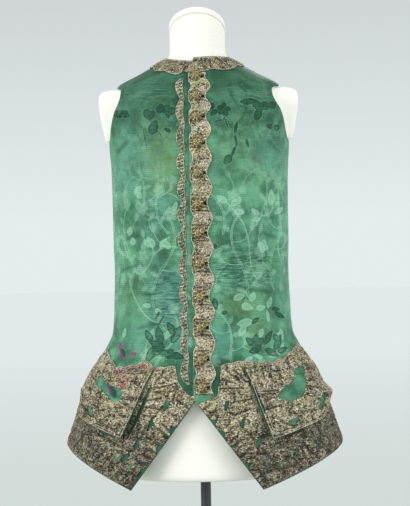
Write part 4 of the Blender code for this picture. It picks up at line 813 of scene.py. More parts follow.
def make_mesh(name, points, quads, finishes, flat, fields=None, finish_index=None, sharp=50):
    """One object of four-sided faces."""
    mesh = bpy.data.meshes.new(name)
    mesh.vertices.add(len(points))
    mesh.vertices.foreach_set("co", np.asarray(points, np.float32).ravel())
    mesh.loops.add(quads.size)
    mesh.loops.foreach_set("vertex_index", quads.astype(np.int32).ravel())
    mesh.polygons.add(len(quads))
    mesh.polygons.foreach_set("loop_start", np.arange(0, quads.size, 4, dtype=np.int32))
    mesh.update(calc_edges=True)
    layer = mesh.uv_layers.new(name="flat")
    layer.data.foreach_set("uv", np.asarray(flat, np.float32)[quads.ravel()].ravel())
    for word, values in (fields or {}).items():
        attribute = mesh.attributes.new(word, "FLOAT", "POINT")
        attribute.data.foreach_set("value", np.asarray(values, np.float32).ravel())
    for finish in finishes:
        mesh.materials.append(finish)
    if finish_index is not None:
        mesh.polygons.foreach_set("material_index", np.asarray(finish_index, np.int32))
    mesh.shade_smooth()
    mesh.set_sharp_from_angle(angle=math.radians(sharp))
    mesh.validate()
    return placed(name, mesh)


def placed(name, data):
    made = bpy.data.objects.new(name, data)
    bpy.context.scene.collection.objects.link(made)
    return made


def shell(name, outer, inner, quads, finishes, flat, fields):
    """A thin wall between two like sets of points. Its inner face takes the second finish."""
    count = len(outer)
    a, b, c = (outer[quads[:, k]] for k in range(3))
    if np.sum(np.cross(b - a, c - a) * (outer - inner)[quads[:, 0]]) < 0:
        quads = quads[:, ::-1]
    starts, ends = rim_edges(quads, count)
    walls = np.stack([ends, starts, starts + count, ends + count], 1)
    faces = np.concatenate([quads, quads[:, ::-1] + count, walls])
    index = np.zeros(len(faces), int)
    if len(finishes) > 1:
        index[len(quads):2 * len(quads)] = 1
    fields = {word: np.tile(values, 2) for word, values in fields.items()}
    return make_mesh(
        name, np.concatenate([outer, inner]), faces, finishes, np.tile(flat, (2, 1)), fields, index
    )


def cut_grid(size, to_flat=None, holes=(), outline=None):
    """A grid of faces without its holes, its rim drawn onto their edges and onto its outline.

    The size is its columns and rows, laid out by to_flat, or the pitch of a grid in an outline.
    It gives back the grid's own places, the flat places and the faces.
    """
    loops = [np.asarray(hole, float) for hole in holes]
    if outline is None:
        low, high, (columns, rows) = (0.0, 0.0), (1.0, 1.0), size
    else:
        low, high = outline.min(0) - size, outline.max(0) + size
        columns, rows = (math.ceil((high[k] - low[k]) / size) + 1 for k in (0, 1))
    u, v = np.meshgrid(np.linspace(low[0], high[0], columns), np.linspace(low[1], high[1], rows))
    own = line_of(u.ravel(), v.ravel())
    flat = own.copy() if to_flat is None else to_flat(own)
    quads = grid_quads(rows, columns)
    middle = flat[quads].mean(1)
    keep = np.ones(len(quads), bool) if outline is None else inside(*middle.T, outline)
    for hole in loops:
        keep &= ~inside(*middle.T, hole)
    quads = quads[keep]
    used = np.unique(quads)
    quads, own, flat = np.searchsorted(used, quads), own[used], flat[used]
    rim = np.unique(rim_edges(quads, len(own))[0])
    spots, place, best = flat[rim], flat[rim].copy(), np.full(len(rim), 9.0)
    for loop in loops if outline is None else [*loops, outline]:
        for start, end in zip(loop, np.roll(loop, -1, axis=0)):
            share, away = along_line(*spots.T, *start, *end)
            nearer = away < best
            best[nearer] = away[nearer]
            place[nearer] = (start + share[:, None] * (end - start))[nearer]
    near = best < RIM_REACH
    flat[rim[near]] = place[near]
    return own, flat, quads


def tube(line, normals, radius, sides=6):
    """Points and faces of a cord along a line of points, and places along and around it."""
    count = len(line)
    steps = np.diff(line, axis=0)
    ahead = unit(np.concatenate([steps[:1], line[2:] - line[:-2], steps[-1:]]))
    beside = unit(np.cross(ahead, normals))
    above = np.cross(beside, ahead)
    turn = np.linspace(0, math.tau, sides, endpoint=False)
    ring = np.cos(turn)[None, :, None] * beside[:, None] + np.sin(turn)[None, :, None] * above[:, None]
    points = (line[:, None] + ring * np.broadcast_to(radius, (count,))[:, None, None]).reshape(-1, 3)
    caps = np.array(((0, 3, 2, 1), (0, 5, 4, 3))), np.array(((0, 1, 2, 3), (0, 3, 4, 5)))
    quads = np.concatenate([ring_quads(count, sides), caps[0], caps[1] + (count - 1) * sides])
    run = running(np.linalg.norm(steps, axis=1))
    return points, quads, line_of(np.repeat(run, sides), np.tile(turn / math.tau * 0.006, count))


def cords(name, lines, finish):
    """One object of all the cords in a list of (points, normals, radius)."""
    parts, start = [], 0
    for line in lines:
        points, quads, flat = tube(*line)
        parts.append((points, quads + start, flat))
        start += len(points)
    points, quads, flat = (np.concatenate(part) for part in zip(*parts))
    made = make_mesh(name, points, quads, [finish], flat, sharp=80)
    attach(made, "root")


def seen_from(x, y, at_x, at_y, degrees):
    """Places along and across a direction, from a point."""
    ahead, across = math.cos(math.radians(degrees)), math.sin(math.radians(degrees))
    return (x - at_x) * ahead + (y - at_y) * across, (y - at_y) * ahead - (x - at_x) * across


def leaf_depth(x, y, leaves):
    """How far inside the nearest leaf's edge each point is, in metres: leaves that lap are parted."""
    best, second = np.full(x.shape, -0.02), np.full(x.shape, -0.02)
    for leaf_x, leaf_y, length, half_width, direction in leaves:
        u, v = seen_from(x, y, leaf_x, leaf_y, direction)
        width = half_width * np.sin(math.pi * np.clip(u / length, 0, 1) ** 0.8) ** 0.8
        past = np.maximum(np.maximum(-u, u - length), 0)
        here = np.where(past > 0, -np.hypot(past, v), width - np.abs(v))
        second = np.maximum(second, np.minimum(best, here))
        best = np.maximum(best, here)
    return np.where(second > 0, np.minimum(best, 0.9 * (best - second) - 0.0006), best)


def line_distance(x, y, path):
    """How far each point is from a line of points, less than nought on its right."""
    nearest = np.full(x.shape, 9.0)
    for (ax, ay), (bx, by) in zip(path, path[1:]):
        away = along_line(x, y, ax, ay, bx, by)[1]
        side = np.where((bx - ax) * (y - ay) > (by - ay) * (x - ax), 1.0, -1.0)
        nearest = np.where(away < np.abs(nearest), away * side, nearest)
    return nearest


def spray_fields(x, y, sprays):
    """How far inside the damask's full parts each flat point is, and its place by the drawn stems.

    In mm: the first is less than nought outside, the second on a stem's right, and the third is half
    the space between the two lines that draw that stem.
    """
    full, beside, half_space = np.full(x.shape, -20.0), np.full(x.shape, 20.0), np.zeros(x.shape)
    bend_share = np.linspace(0, 1, 9)[:, None]
    for foot_x, foot_y, turn, size, side in sprays:
        u, v = seen_from(x, y, foot_x, foot_y, turn)
        u, v = u * side / size, v / size
        near = (np.abs(u) < 0.08) & (v > -0.02) & (v < 0.21)
        u, v = u[near], v[near]
        nearest, half_here = beside[near], half_space[near]
        for start, bend, end, half in SPRAY_STEMS:
            start, bend, end = np.array((start, bend, end))
            path = mix(mix(start, bend, bend_share), mix(bend, end, bend_share), bend_share)
            away = line_distance(u, v, path) * 1000 * size
            nearer = np.abs(away) < np.abs(nearest)
            nearest = np.where(nearer, away, nearest)
            half_here = np.where(nearer, half * 1000 * size, half_here)
        beside[near], half_space[near] = nearest, half_here
        solid = leaf_depth(u, v, SPRAY_BUDS) - OUTLINE_SPACE
        for flower_x, flower_y, radius, twist in SPRAY_FLOWERS:
            away, angle = np.hypot(u - flower_x, v - flower_y), np.arctan2(v - flower_y, u - flower_x) + twist
            petal = np.abs(np.cos(angle * 2.5)) ** 0.7
            solid = np.maximum(solid, np.minimum(radius * (0.50 + 0.50 * petal) - away, away - 0.16 * radius))
        full[near] = np.maximum(full[near], solid * 1000 * size)
    return full, beside, half_space


def spots(places, x, height, soft=0.7):
    """How strong the soft spots are at each point, from 0 to 1."""
    strength = np.zeros(x.shape)
    for spot_x, spot_height, half_width, half_height, lean, most in places:
        u, v = seen_from(x, height, spot_x, spot_height, lean)
        away = np.hypot(u / half_width, v / half_height)
        strength = np.maximum(strength, most * ease((1 + soft / 2 - away) / soft))
    return strength


def linear(hex_colour):
    """An sRGB hex colour as linear red, green, blue and alpha."""
    parts = [int(hex_colour[i:i + 2], 16) / 255 for i in (1, 3, 5)]
    return (*[p / 12.92 if p <= 0.04045 else ((p + 0.055) / 1.055) ** 2.4 for p in parts], 1.0)


def add_node(tree, kind, *values, out=0, **words):
    """Adds one node and gives back one of its outputs.

    The values go into its inputs in order, and into the inputs that a capital word or a table of
    places names. Other words are its settings.
    """
    node = tree.nodes.new("ShaderNode" + kind)
    inputs = values[0] if values and isinstance(values[0], dict) else dict(enumerate(values))
    for word, value in words.items():
        if word[0].isupper():
            inputs[word] = value
        else:
            setattr(node, word, value)
    for place, value in inputs.items():
        if isinstance(value, bpy.types.NodeSocket):
            tree.links.new(value, node.inputs[place])
        else:
            node.inputs[place].default_value = value
    return node.outputs[out]


def new_material(name, **values):
    """A material with the values that are the same all over, and what adds its nodes."""
    made = bpy.data.materials.new(name)
    made.use_nodes = True
    shader = made.node_tree.nodes["Principled BSDF"]
    for word, value in values.items():
        shader.inputs[word.replace("_", " ").title().replace("Ior", "IOR")].default_value = value
    return made, partial(add_node, made.node_tree)


def driven(made, colour, roughness=None, height=None, distance=0.0002, strength=1.0):
    """The material, with what varies over a surface linked to its shader."""
    tree = made.node_tree
    linked = {"Base Color": colour}
    if roughness is not None:
        linked["Roughness"] = roughness
    if height is not None:
        raised = {"Height": height, "Distance": distance, "Strength": strength}
        linked["Normal"] = add_node(tree, "Bump", raised, out="Normal")
    for socket, value in linked.items():
        tree.links.new(value, tree.nodes["Principled BSDF"].inputs[socket])
    return made


def layered(add, colour, *layers):
    """A colour with others laid over it, each by its own share and amount."""
    for share, amount, over in layers:
        share = add("Math", share, amount, operation="MULTIPLY")
        colour = add("Mix", {0: share, 6: colour, 7: over}, out=2, data_type="RGBA")
    return colour


def silk_damask(look):
    """Silk damask: a satin ground with flowers of the same dye, which shine more than it does.

    The eye sees a soft broad shine that shifts in patches, fine ribs across and thin drawn stems.
    """
    made, add = new_material(
        "green silk damask", roughness=look.gloss, ior=1.54, metallic=0.0, specular_ior_level=0.06
    )
    flat = add("UVMap", uv_map="flat")
    words = "full beside half by lit dark bright shade light warm cool crumple stain blot"
    field = {word: add("Attribute", out="Fac", attribute_name=word) for word in words.split()}
    # Fray of 1.6 mm along the woven edges
    fray = add("TexNoise", out="Fac", Vector=flat, Scale=1 / 0.0016, Detail=1.0)
    fray = add("Math", fray, 0.5, operation="SUBTRACT")
    edged = {}
    for word, ragged, low, high in (
        ("full", 1.6, -0.3, 0.5), ("dark", 3.0, -1.0, 1.4), ("bright", 2.6, -0.9, 1.3),
    ):
        ragged_edge = add("Math", fray, ragged, field[word], operation="MULTIPLY_ADD")
        edged[word] = add("MapRange", ragged_edge, low, high, interpolation_type="SMOOTHSTEP")
    # The stems are drawn by two lines, or by one, and the buds by a line round them: each 1.2 mm wide
    off = add("Math", field["beside"], operation="ABSOLUTE")
    off = add("Math", off, field["half"], operation="SUBTRACT")
    stem = add("MapRange", add("Math", off, operation="ABSOLUTE"), 0.95, 0.35)
    stem = add("Math", stem, add("MapRange", field["by"], 3.4, 2.8), operation="MULTIPLY")
    rim = {}
    for word, depth, low, high in (
        ("full", OUTLINE_SPACE * 1000, 0.85, 0.30), ("dark", 0.9, 0.9, 0.3), ("bright", 0.9, 0.9, 0.3),
    ):
        away = add("Math", add("Math", field[word], depth, operation="ADD"), operation="ABSOLUTE")
        rim[word] = add("MapRange", away, low, high)
    line = add("Math", stem, rim["full"], operation="MAXIMUM")
    # The dark and bright leaves have a vein of the ground along the middle and a pale line round them
    for word in ("dark", "bright"):
        vein = add("MapRange", field[word], 2.4, 3.6, 1.0, 0.70)
        edged[word] = add("Math", edged[word], vein, operation="MULTIPLY")
    # The real threads are 0.1 mm: the ribs are drawn 1.9 mm apart, as coarse as they need to show
    weft = add(
        "TexWave", out="Fac", Vector=flat, Scale=1 / look.rib_spacing / math.tau, Distortion=1.4, Detail=2.0,
        wave_type="BANDS", bands_direction="Y",
    )
    # Threads of uneven dye: streaks 30 mm by 2 mm across, and others 1.5 mm by 12 mm down the cloth
    across = add("Mapping", Vector=flat, Scale=(33.0, 480.0, 1.0))
    streak = add("TexNoise", out="Fac", Vector=across, Scale=1.0, Detail=3.0, Roughness=0.7)
    down = add("Mapping", Vector=flat, Scale=(640.0, 80.0, 1.0))
    slub = add("TexNoise", out="Fac", Vector=down, Scale=1.0, Detail=2.0)
    cloud = add("TexNoise", out="Fac", Vector=flat, Scale=24.0, Detail=5.0, Roughness=0.62)
    pale, dusk, streaked, slubbed = (
        add("MapRange", source, low, high, interpolation_type="SMOOTHSTEP")
        for source, low, high in (
            (cloud, 0.34, 0.68), (cloud, 0.62, 0.36), (streak, 0.40, 0.72), (slub, 0.45, 0.75),
        )
    )
    # Fine creases of 12 mm by 2.6 mm lie where the cloth has been crushed, with painted shade in their
    # hollows and a painted highlight on their tops
    creased = add("Mapping", Vector=flat, Scale=(62.0, 330.0, 1.0))
    crease = add("TexNoise", out="Fac", Vector=creased, Scale=1.0, Detail=2.0, Distortion=0.7)
    crest, crease_shade = (
        add("Math", add("MapRange", crease, *between), field["crumple"], operation="MULTIPLY")
        for between in ((0.50, 0.68), (0.48, 0.32))
    )
    # The flowers' painted sheen comes in patches, as the threads in them lie differently
    patchy = add("MapRange", streak, 0.34, 0.56, 0.55)
    full, dark, bright = (
        add("Math", edged[word], patchy, operation="MULTIPLY") for word in ("full", "dark", "bright")
    )
    # Painted sheen: the flowers and stems are painted dark up the chest and pale lower down, by the lit
    # field; so are the dark and bright leaves
    woven = add("Mix", {0: field["lit"], 6: look.ground_dark, 7: look.flower}, out=2, data_type="RGBA")
    soaked = add("Math", fray, 1.8, field["stain"], operation="MULTIPLY_ADD")
    soaked = add("MapRange", soaked, 0.25, 0.95)
    colour = layered(
        add, look.ground,
        (pale, 0.70, look.pale_and_lit_ground), (dusk, 0.45, look.ground_dark),
        (field["warm"], 0.55, look.ground_warm), (field["cool"], 0.60, look.ground_cool),
        (field["light"], 0.60, look.pale_and_lit_ground), (full, 0.60, woven), (line, 0.62, woven),
        (streaked, 0.28, look.ground_dark), (slubbed, 0.16, look.flower), (weft, 0.14, look.ground_dark),
        (crease_shade, 0.55, look.ground_dark), (crest, 0.45, look.flower), (field["shade"], 0.75, look.ground_dark),
        (rim["dark"], 0.12, look.flower), (rim["bright"], 0.18, look.ground_dark),
        (bright, 0.60, look.flower), (dark, 0.90, look.ground_dark),
        # Painted shadow, and a few dark patches on the right flap
        (field["blot"], 0.90, look.ground_dark), (soaked, 0.85, look.stain),
    )
    # What stands up: the ribs, the creases and, hardly at all, the flowers
    height = add("Math", crease, field["crumple"], operation="MULTIPLY")
    for part, weight in ((weft, 0.10), (cloud, 1.6), (edged["full"], 0.12)):
        height = add("Math", part, weight, height, operation="MULTIPLY_ADD")
    return driven(made, colour, None, height, 0.0010, 0.9)


def silk_reverse(look):
    """The back of the silk, seen inside the hems and armholes: the same dye, dull and plain."""
    made, add = new_material("reverse of green silk", roughness=0.7, ior=1.54, metallic=0.0)
    flat = add("UVMap", uv_map="flat")
    scale = 1 / 0.0012 / math.tau
    weft = add("TexWave", out="Fac", Vector=flat, Scale=scale, Distortion=0.8, bands_direction="Y")
    return driven(made, layered(add, look.ground_dark, (weft, 1.0, look.ground)), None, weft, 0.00012)


def metal_lace(look):
    """Lace of silver-gilt thread wound on silk: tarnished grey-gold curls that glint, dark between.

    The metal thread is a third of the surface; the silk under it dulls the rest.
    """
    made, add = new_material("tarnished metal lace", metallic=0.35, specular_ior_level=0.4)
    flat = add("UVMap", uv_map="flat")
    words = "gap", "fold", "tarnish", "bare", "stain"
    field = {word: add("Attribute", out="Fac", attribute_name=word) for word in words}
    warp = add("TexNoise", out="Color", Vector=flat, Scale=190.0, Detail=1.0)
    place = add("VectorMath", warp, (0.0050, 0.0050, 0.0), flat, operation="MULTIPLY_ADD")
    # Thread curls: real ones are 3 mm across and are drawn as wide as the look's loop size
    curls = {"Vector": place, "Scale": 1 / look.loop_size, "Randomness": 1.0}
    away = add("TexVoronoi", curls, out="Distance", voronoi_dimensions="2D")
    turn = add("Math", add("Math", away, 17.0, operation="MULTIPLY"), operation="SINE")
    ring = add("MapRange", turn, -0.7, 0.7)
    # Turns of the thread, drawn 2.2 mm long, each with its own chance to catch the light
    grains = {"Vector": place, "Scale": 1 / 0.0022, "Randomness": 1.0}
    grain = add("TexVoronoi", dict(grains), out="Distance", voronoi_dimensions="2D")
    middle = add("TexVoronoi", dict(grains), out="Position", voronoi_dimensions="2D")
    chance = add("TexWhiteNoise", out="Value", Vector=middle, noise_dimensions="2D")
    thread = add("MapRange", grain, 0.62, 0.10)
    cover = add("Math", ring, 0.24, 0.15, operation="MULTIPLY_ADD")
    for part, weight in ((thread, 0.34), (chance, 0.50), (field["gap"], -0.66)):
        cover = add("Math", part, weight, cover, operation="MULTIPLY_ADD")
    shown = add("MapRange", cover, 0.0, 0.62)
    # Painted glints: clusters of 10 mm catch the light more than those between them
    cluster = add("TexNoise", out="Fac", Vector=flat, Scale=95.0, Detail=1.0)
    cluster = add("MapRange", cluster, 0.34, 0.56)
    dull = add("MapRange", field["tarnish"], 0.0, 1.0, 1.0, 0.35)
    # Painted glints on single turns of the thread, fewer where it is tarnished
    painted_glint = add("MapRange", chance, 0.50, 0.72)
    for share in (thread, shown, cluster, dull):
        painted_glint = add("Math", painted_glint, share, operation="MULTIPLY")
    cloud = add("TexNoise", out="Fac", Vector=flat, Scale=42.0, Detail=3.0)
    gilded = add("MapRange", cloud, 0.42, 0.66)
    # Painted highlight on the tops of the folds, and painted shade in their troughs
    ridge = add("MapRange", field["fold"], 0.05, 0.70)
    trough = add("MapRange", field["fold"], -0.10, -0.80)
    metal = layered(
        add, look.thread, (gilded, 0.60, look.thread_warm), (field["tarnish"], 0.75, look.tarnish),
        (ridge, 0.42, look.glint), (painted_glint, 0.95, look.glint),
    )
    between = layered(add, look.gap, (field["bare"], 1.0, look.silk))
    colour = add("Mix", {0: shown, 6: between, 7: metal}, out=2, data_type="RGBA")
    colour = layered(add, colour, (trough, 0.74, look.gap), (field["stain"], 0.62, look.stain))
    return driven(made, colour, add("MapRange", cover, 0.2, 0.9, 0.62, 0.34), cover, 0.0012, 1.0)


def lace_cord(look):
    """The cord whipped along the lace's edges: paler, tight and round, twisted every 1.6 mm."""
    made, add = new_material("metal edge cord", roughness=0.42, metallic=0.30)
    flat = add("UVMap", uv_map="flat")
    scale = 1 / 0.0016 / math.tau * 1.4
    wave = add("TexWave", out="Fac", Vector=flat, Scale=scale, Distortion=1.2, bands_direction="DIAGONAL")
    worn = add("TexNoise", out="Fac", Vector=flat, Scale=130.0, Detail=3.0)
    worn = add("MapRange", worn, 0.42, 0.58)
    colour = layered(add, look.cord, (worn, 0.60, look.tarnish), (wave, 0.40, look.gap))
    return driven(made, colour, None, wave, 0.0003, 0.8)


def gilt_thread(look):
    """Gilt thread worked over a wooden mould: old yellow metal, bright on its knots, brown between."""
    made, add = new_material("gilt thread button", roughness=0.24, metallic=0.85)
    flat = add("UVMap", uv_map="flat")
    deep = add("Attribute", out="Fac", attribute_name="gap")
    scale = 1 / 0.0011 / math.tau
    turns = {"Vector": flat, "Scale": scale, "Distortion": 1.5, "Detail": 2.0}
    wound = add("TexWave", turns, out="Fac", bands_direction="X")
    old = add("TexNoise", out="Fac", Vector=flat, Scale=300.0, Detail=2.0)
    old = add("MapRange", old, 0.46, 0.62)
    colour = layered(
        add, look.gilt, (wound, 0.5, look.gilt_light), (old, 0.55, look.gilt_gap), (deep, 0.80, look.gilt_gap)
    )
    return driven(made, colour, None, wound, 0.0002, 0.8)


def form_cover(look):
    """Cotton jersey stretched over the form: matt, cream, with a barely visible knit."""
    made, add = new_material("cream cotton form cover", roughness=0.85, ior=1.5, metallic=0.0)
    place = add("TexCoord", out="Object")
    cloud = add("TexNoise", out="Fac", Vector=place, Scale=9.0, Detail=3.0)
    # The knit's 0.8 mm rows are drawn 1.6 mm apart so that they show
    scale = 1 / 0.0016 / math.tau
    knit = add("TexWave", out="Fac", Vector=place, Scale=scale, Distortion=0.4, bands_direction="Z")
    return driven(made, layered(add, look.cover, (cloud, 1.0, look.cover_shade)), None, knit, 0.00012, 0.6)


def painted_steel(look):
    """Steel with a dark satin paint: charcoal, a soft highlight and a slight orange peel."""
    made, add = new_material("dark painted steel", roughness=0.38, ior=1.5, metallic=0.0)
    place = add("TexCoord", out="Object")
    peel = add("TexNoise", out="Fac", Vector=place, Scale=420.0, Detail=2.0)
    cloud = add("TexNoise", out="Fac", Vector=place, Scale=22.0, Detail=3.0)
    rough = add("MapRange", cloud, 0.0, 1.0, 0.32, 0.46)
    return driven(made, layered(add, look.paint, (cloud, 1.0, look.paint_light)), rough, peel, 0.00006, 0.6)


def studio_floor(look):
    """A plain pale floor, matt."""
    made, add = new_material("pale studio floor", roughness=0.95, metallic=0.0, specular_ior_level=0.0)
    place = add("TexCoord", out="Object")
    # It lightens from 2 m to 9 m away, where it meets the backdrop
    away = add("VectorMath", place, out="Value", operation="LENGTH")
    near = add("MapRange", away, 9.0, 2.0)
    return driven(made, layered(add, look.floor, (near, 1.0, look.floor_shade)))


def colour_value(name, text, hex_colour):
    return bpy.props.FloatVectorProperty(
        name=name, description=text, subtype="COLOR", size=4, min=0.0, max=1.0, default=linear(hex_colour)
    )


def length_value(name, text, size):
    return bpy.props.FloatProperty(
        name=name, description=text, default=size, min=0.0002, subtype="DISTANCE", unit="LENGTH", precision=5
    )


class WaistcoatSilk(bpy.types.PropertyGroup):
    """The silk of the fronts, the backs and the pocket flaps."""

    ground: colour_value("Ground", "Satin ground of the damask", "#4f8b69")
    # Paler ground: random pale patches, and the colour of the painted light on the silk
    pale_and_lit_ground: colour_value("Lit ground", "Ground where the cloth is watered", "#78b993")
    ground_dark: colour_value("Deep green", "Ground in its darkest places", "#16402f")
    ground_warm: colour_value("Faded green", "Ground that has gone yellow", "#7d9a58")
    ground_cool: colour_value("Blue green", "Ground that has gone blue", "#4f8c8c")
    flower: colour_value("Flowers", "Flowers and stems where they catch the light", "#a2d6b6")
    stain: colour_value("Stain", "Old dye stain on the right front", "#8a2078")
    gloss: bpy.props.FloatProperty(
        name="Gloss", description="Roughness of the satin", default=0.40, min=0, max=1
    )
    rib_spacing: length_value("Rib spacing", "Distance between the ribs as drawn", 0.0019)
    mesh_pitch: length_value("Front mesh", "Spacing of the fronts' mesh", 0.0029)
    back_mesh_pitch: length_value("Back mesh", "Spacing of the backs' mesh", 0.0031)


class WaistcoatLace(bpy.types.PropertyGroup):
    """The metal lace, its cords and the buttons' thread."""

    thread: colour_value("Thread", "Tarnished silver-gilt thread", "#b4ab8d")
    thread_warm: colour_value("Warm thread", "Thread that has kept its gilding", "#c4b684")
    tarnish: colour_value("Tarnish", "Thread that has gone grey", "#6f6a5c")
    # Colour of the painted glints and of the painted highlights on the folds
    glint: colour_value("Glint", "Clean metal on top of the loops", "#fbf4dc")
    cord: colour_value("Cord", "Cord along the edges", "#e9e1c8")
    gap: colour_value("Gaps", "Between the threads", "#2b2317")
    silk: colour_value("Silk between", "Silk that shows through thin lace", "#2f6b50")
    stain: colour_value("Stain", "Old dye stain", "#a02a58")
    gilt: colour_value("Gilt", "Gilt thread of the buttons", "#948659")
    gilt_light: colour_value("Bright gilt", "Gilt thread on top of the knots", "#e8dcb4")
    gilt_gap: colour_value("Between the knots", "Between the buttons' knots", "#3c3218")
    loop_size: length_value("Loop size", "Width of the thread loops as drawn", 0.0075)
    mesh_pitch: length_value("Lace mesh", "Spacing of the skirt laces' mesh", 0.00136)


class WaistcoatForm(bpy.types.PropertyGroup):
    """The dress form and its stand."""

    cover: colour_value("Cover", "Cotton cover of the form", "#fcfaf2")
    cover_shade: colour_value("Cover shade", "Cover where it has yellowed", "#f8f4e8")
    paint: colour_value("Paint", "Paint of the stand", "#26292c")
    paint_light: colour_value("Worn paint", "Paint where hands have dulled it", "#34383c")


class WaistcoatStudio(bpy.types.PropertyGroup):
    """The floor and the lights."""

    floor: colour_value("Floor", "Floor", "#e0e4e5")
    floor_shade: colour_value("Floor shade", "Floor near the form", "#d2d7d4")
    sky: colour_value("Backdrop", "Light from the height of the eye", "#e5ecee")
    sky_dim: colour_value("Upper backdrop", "Light from the backdrop's top", "#d0d6d7")
    sky_above: colour_value("Ceiling", "Light from above", "#eceff0")
    sky_strength: bpy.props.FloatProperty(
        name="Surroundings", description="Strength of the light from all round", default=1.0, min=0
    )
    key_strength: bpy.props.FloatProperty(
        name="Main light", default=1.35, min=0,
        description="Strength of the main light, in watts a square metre",
    )
    fill_strength: bpy.props.FloatProperty(
        name="Other lights", default=0.95, min=0,
        description="Strength of the others, in watts a square metre",
    )


def finished(piece, nodes):
    """The piece stands for its solids, rides on the garment and takes its finish from a slot."""
    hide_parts(*nodes)
    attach(piece, "root")


def silk_fields(x, height, flat_x, cloth, folds=()):
    """What the silk's material reads at each point. Its folds get a painted highlight on top and painted
    shade beside.
    """
    full, beside, half_space = spray_fields(flat_x, height, cloth["sprays"])
    for half, path in cloth["stems"]:
        away = line_distance(x, height, bent(path)) * 1000
        nearer = np.abs(away) < np.abs(beside)
        beside, half_space = np.where(nearer, away, beside), np.where(nearer, half, half_space)
    fields = {"full": full, "beside": beside, "half": half_space, "by": np.abs(beside)}
    # Painted sheen: the flowers are dark above 0.955 m and pale below 0.795 m
    fields["lit"] = ease((0.955 - height) / 0.16)
    # The leaves painted dark or bright stand for the damask's sheen
    for word, swell in (("dark", 1.32), ("bright", 1.15)):
        leaves = [(*leaf[:2], leaf[2] * swell, leaf[3] * swell, leaf[4]) for leaf in cloth.get(word, ())]
        fields[word] = leaf_depth(x, height, leaves) * 1000
    for word, soft in SPOT_SOFTNESS.items():
        fields[word] = spots(cloth.get(word, ()), x, height, soft)
    lift = crease_rise(folds, x, height, 0.3, 0.1, 0.3)
    # Painted light towards the sides, and painted shade over the chest and shoulders and under the skirt
    # laces
    side = 0.65 * ease((x - 0.115) / 0.035) * ease((0.94 - height) / 0.04) * ease((height - 0.57) / 0.05)
    shade_under_lace = 0.85 * ease((0.452 - height) / 0.02) * bool(cloth["stems"])
    shoulder = 0.16 * ease((height - 0.83) / 0.09) + 0.48 * ease((height - 0.915) / 0.05)
    shoulder = shoulder + 0.24 * ease((height - 0.992) / 0.024)
    for word, also in (
        ("light", np.clip(lift / 0.0040, 0, 0.75)), ("light", side),
        ("shade", np.clip(-lift / 0.0016, 0, 0.80)), ("shade", np.maximum(shoulder, shade_under_lace)),
    ):
        fields[word] = np.maximum(fields[word], also)
    return fields


def silk_piece(name, node, points, normals, quads, spread, place, fields, finishes, **sheet):
    """A wall of silk with its outer face at these points, its pattern laid out from a place."""
    piece = shell(name, points, points - normals * CLOTH, quads, finishes, spread + place, fields)
    finished(piece, [node])


def panel(word, angle, height, outer, turned_angle, cloth, folds, place, finishes, size, area):
    """The silk of one front or back. The turned angle is its angle from the front's or back's middle."""
    points, normals = (part.reshape(-1, 3) for part in outer)
    flat = line_of((turned_angle * ARC).ravel(), height.ravel())
    fields = silk_fields(x_at(turned_angle, height).ravel(), height.ravel(), flat[:, 0], cloth, folds)
    silk_piece(
        f"silk_{word}", word, points, normals, grid_quads(*angle.shape), flat, place, fields, finishes,
        flat=size, held="stretched", rests_on=["form_torso"], area=area,
    )


def front_panel(front, look, finishes):
    angle, height = front_grid(front.rows, look.mesh_pitch, FRONT_COLUMNS)
    panel(
        f"front_{front.word}", angle, height, front_points(front, angle, height), angle, front.silk,
        front.folds + front.creases, front.silk_place, finishes, (0.335, 0.805), 0.205,
    )


def back_panel(front, look, finishes):
    angle, height = back_grid(look.back_mesh_pitch, BACK_COLUMNS)
    turned_angle = 180 - angle
    lift = crease_rise(BACK_CREASES, x_at(turned_angle, height), height, 0.3, 0.0)
    panel(
        f"back_{front.word}", angle, height, lifted(front.side, angle, height, lift, True), turned_angle,
        BACK_SILK, BACK_CREASES, front.silk_place + 1.4, finishes, (0.265, 0.745), 0.160,
    )


def bent(points, before=None, beyond=None):
    """A smooth line through points, with five steps between one and the next."""
    points = np.array(points, float)
    before = points[0] if before is None else before
    beyond = points[-1] if beyond is None else beyond
    points = np.vstack([before, points, beyond])[:, None]
    a, b, c, d = points[:-3], points[1:-2], points[2:-1], points[3:]
    t = np.linspace(0, 1, 5, endpoint=False)[None, :, None]
    line = 0.5 * (2 * b + (c - a) * t + (2 * a - 5 * b + 4 * c - d) * t**2 + (3 * b - a - 3 * c + d) * t**3)
    return line.reshape(-1, 2)


def gap_loop(gap):
    """The outline of a gap in a lace: a leaf from five numbers, or a smooth loop through points."""
    if np.ndim(gap[0]) == 0:
        x, height, half_width, half_height, lean = gap
        turn, tilt = np.linspace(0, math.tau, LEAF_POINTS, endpoint=False), math.radians(lean)
        across, along = half_width * np.sin(turn), half_height * np.cos(turn)
        return line_of(
            x + across * math.cos(tilt) - along * math.sin(tilt),
            height + along * math.cos(tilt) + across * math.sin(tilt),
        )
    points = np.array(gap, float)
    return bent(np.vstack([points, points[:1]]), points[-1], points[1])


def laid_out(line):
    """A line of (x, height) seen from the front, as flat points."""
    line = np.asarray(line, float)
    return line_of(angle_at(*line.T) * ARC, line[:, 1])


def scalloped(line, steps=10):
    made = []
    for (ax, ay), (bx, by) in zip(line, line[1:]):
        count = max(1, round(math.hypot(bx - ax, by - ay) / SCALLOP_PITCH))
        for k in range(steps * count):
            share = k / (steps * count)
            rise = SCALLOP_DEPTH * abs(math.sin(math.pi * share * count))
            made.append((mix(ax, bx, share), mix(ay, by, share) + rise))
    return [*made, line[-1]]


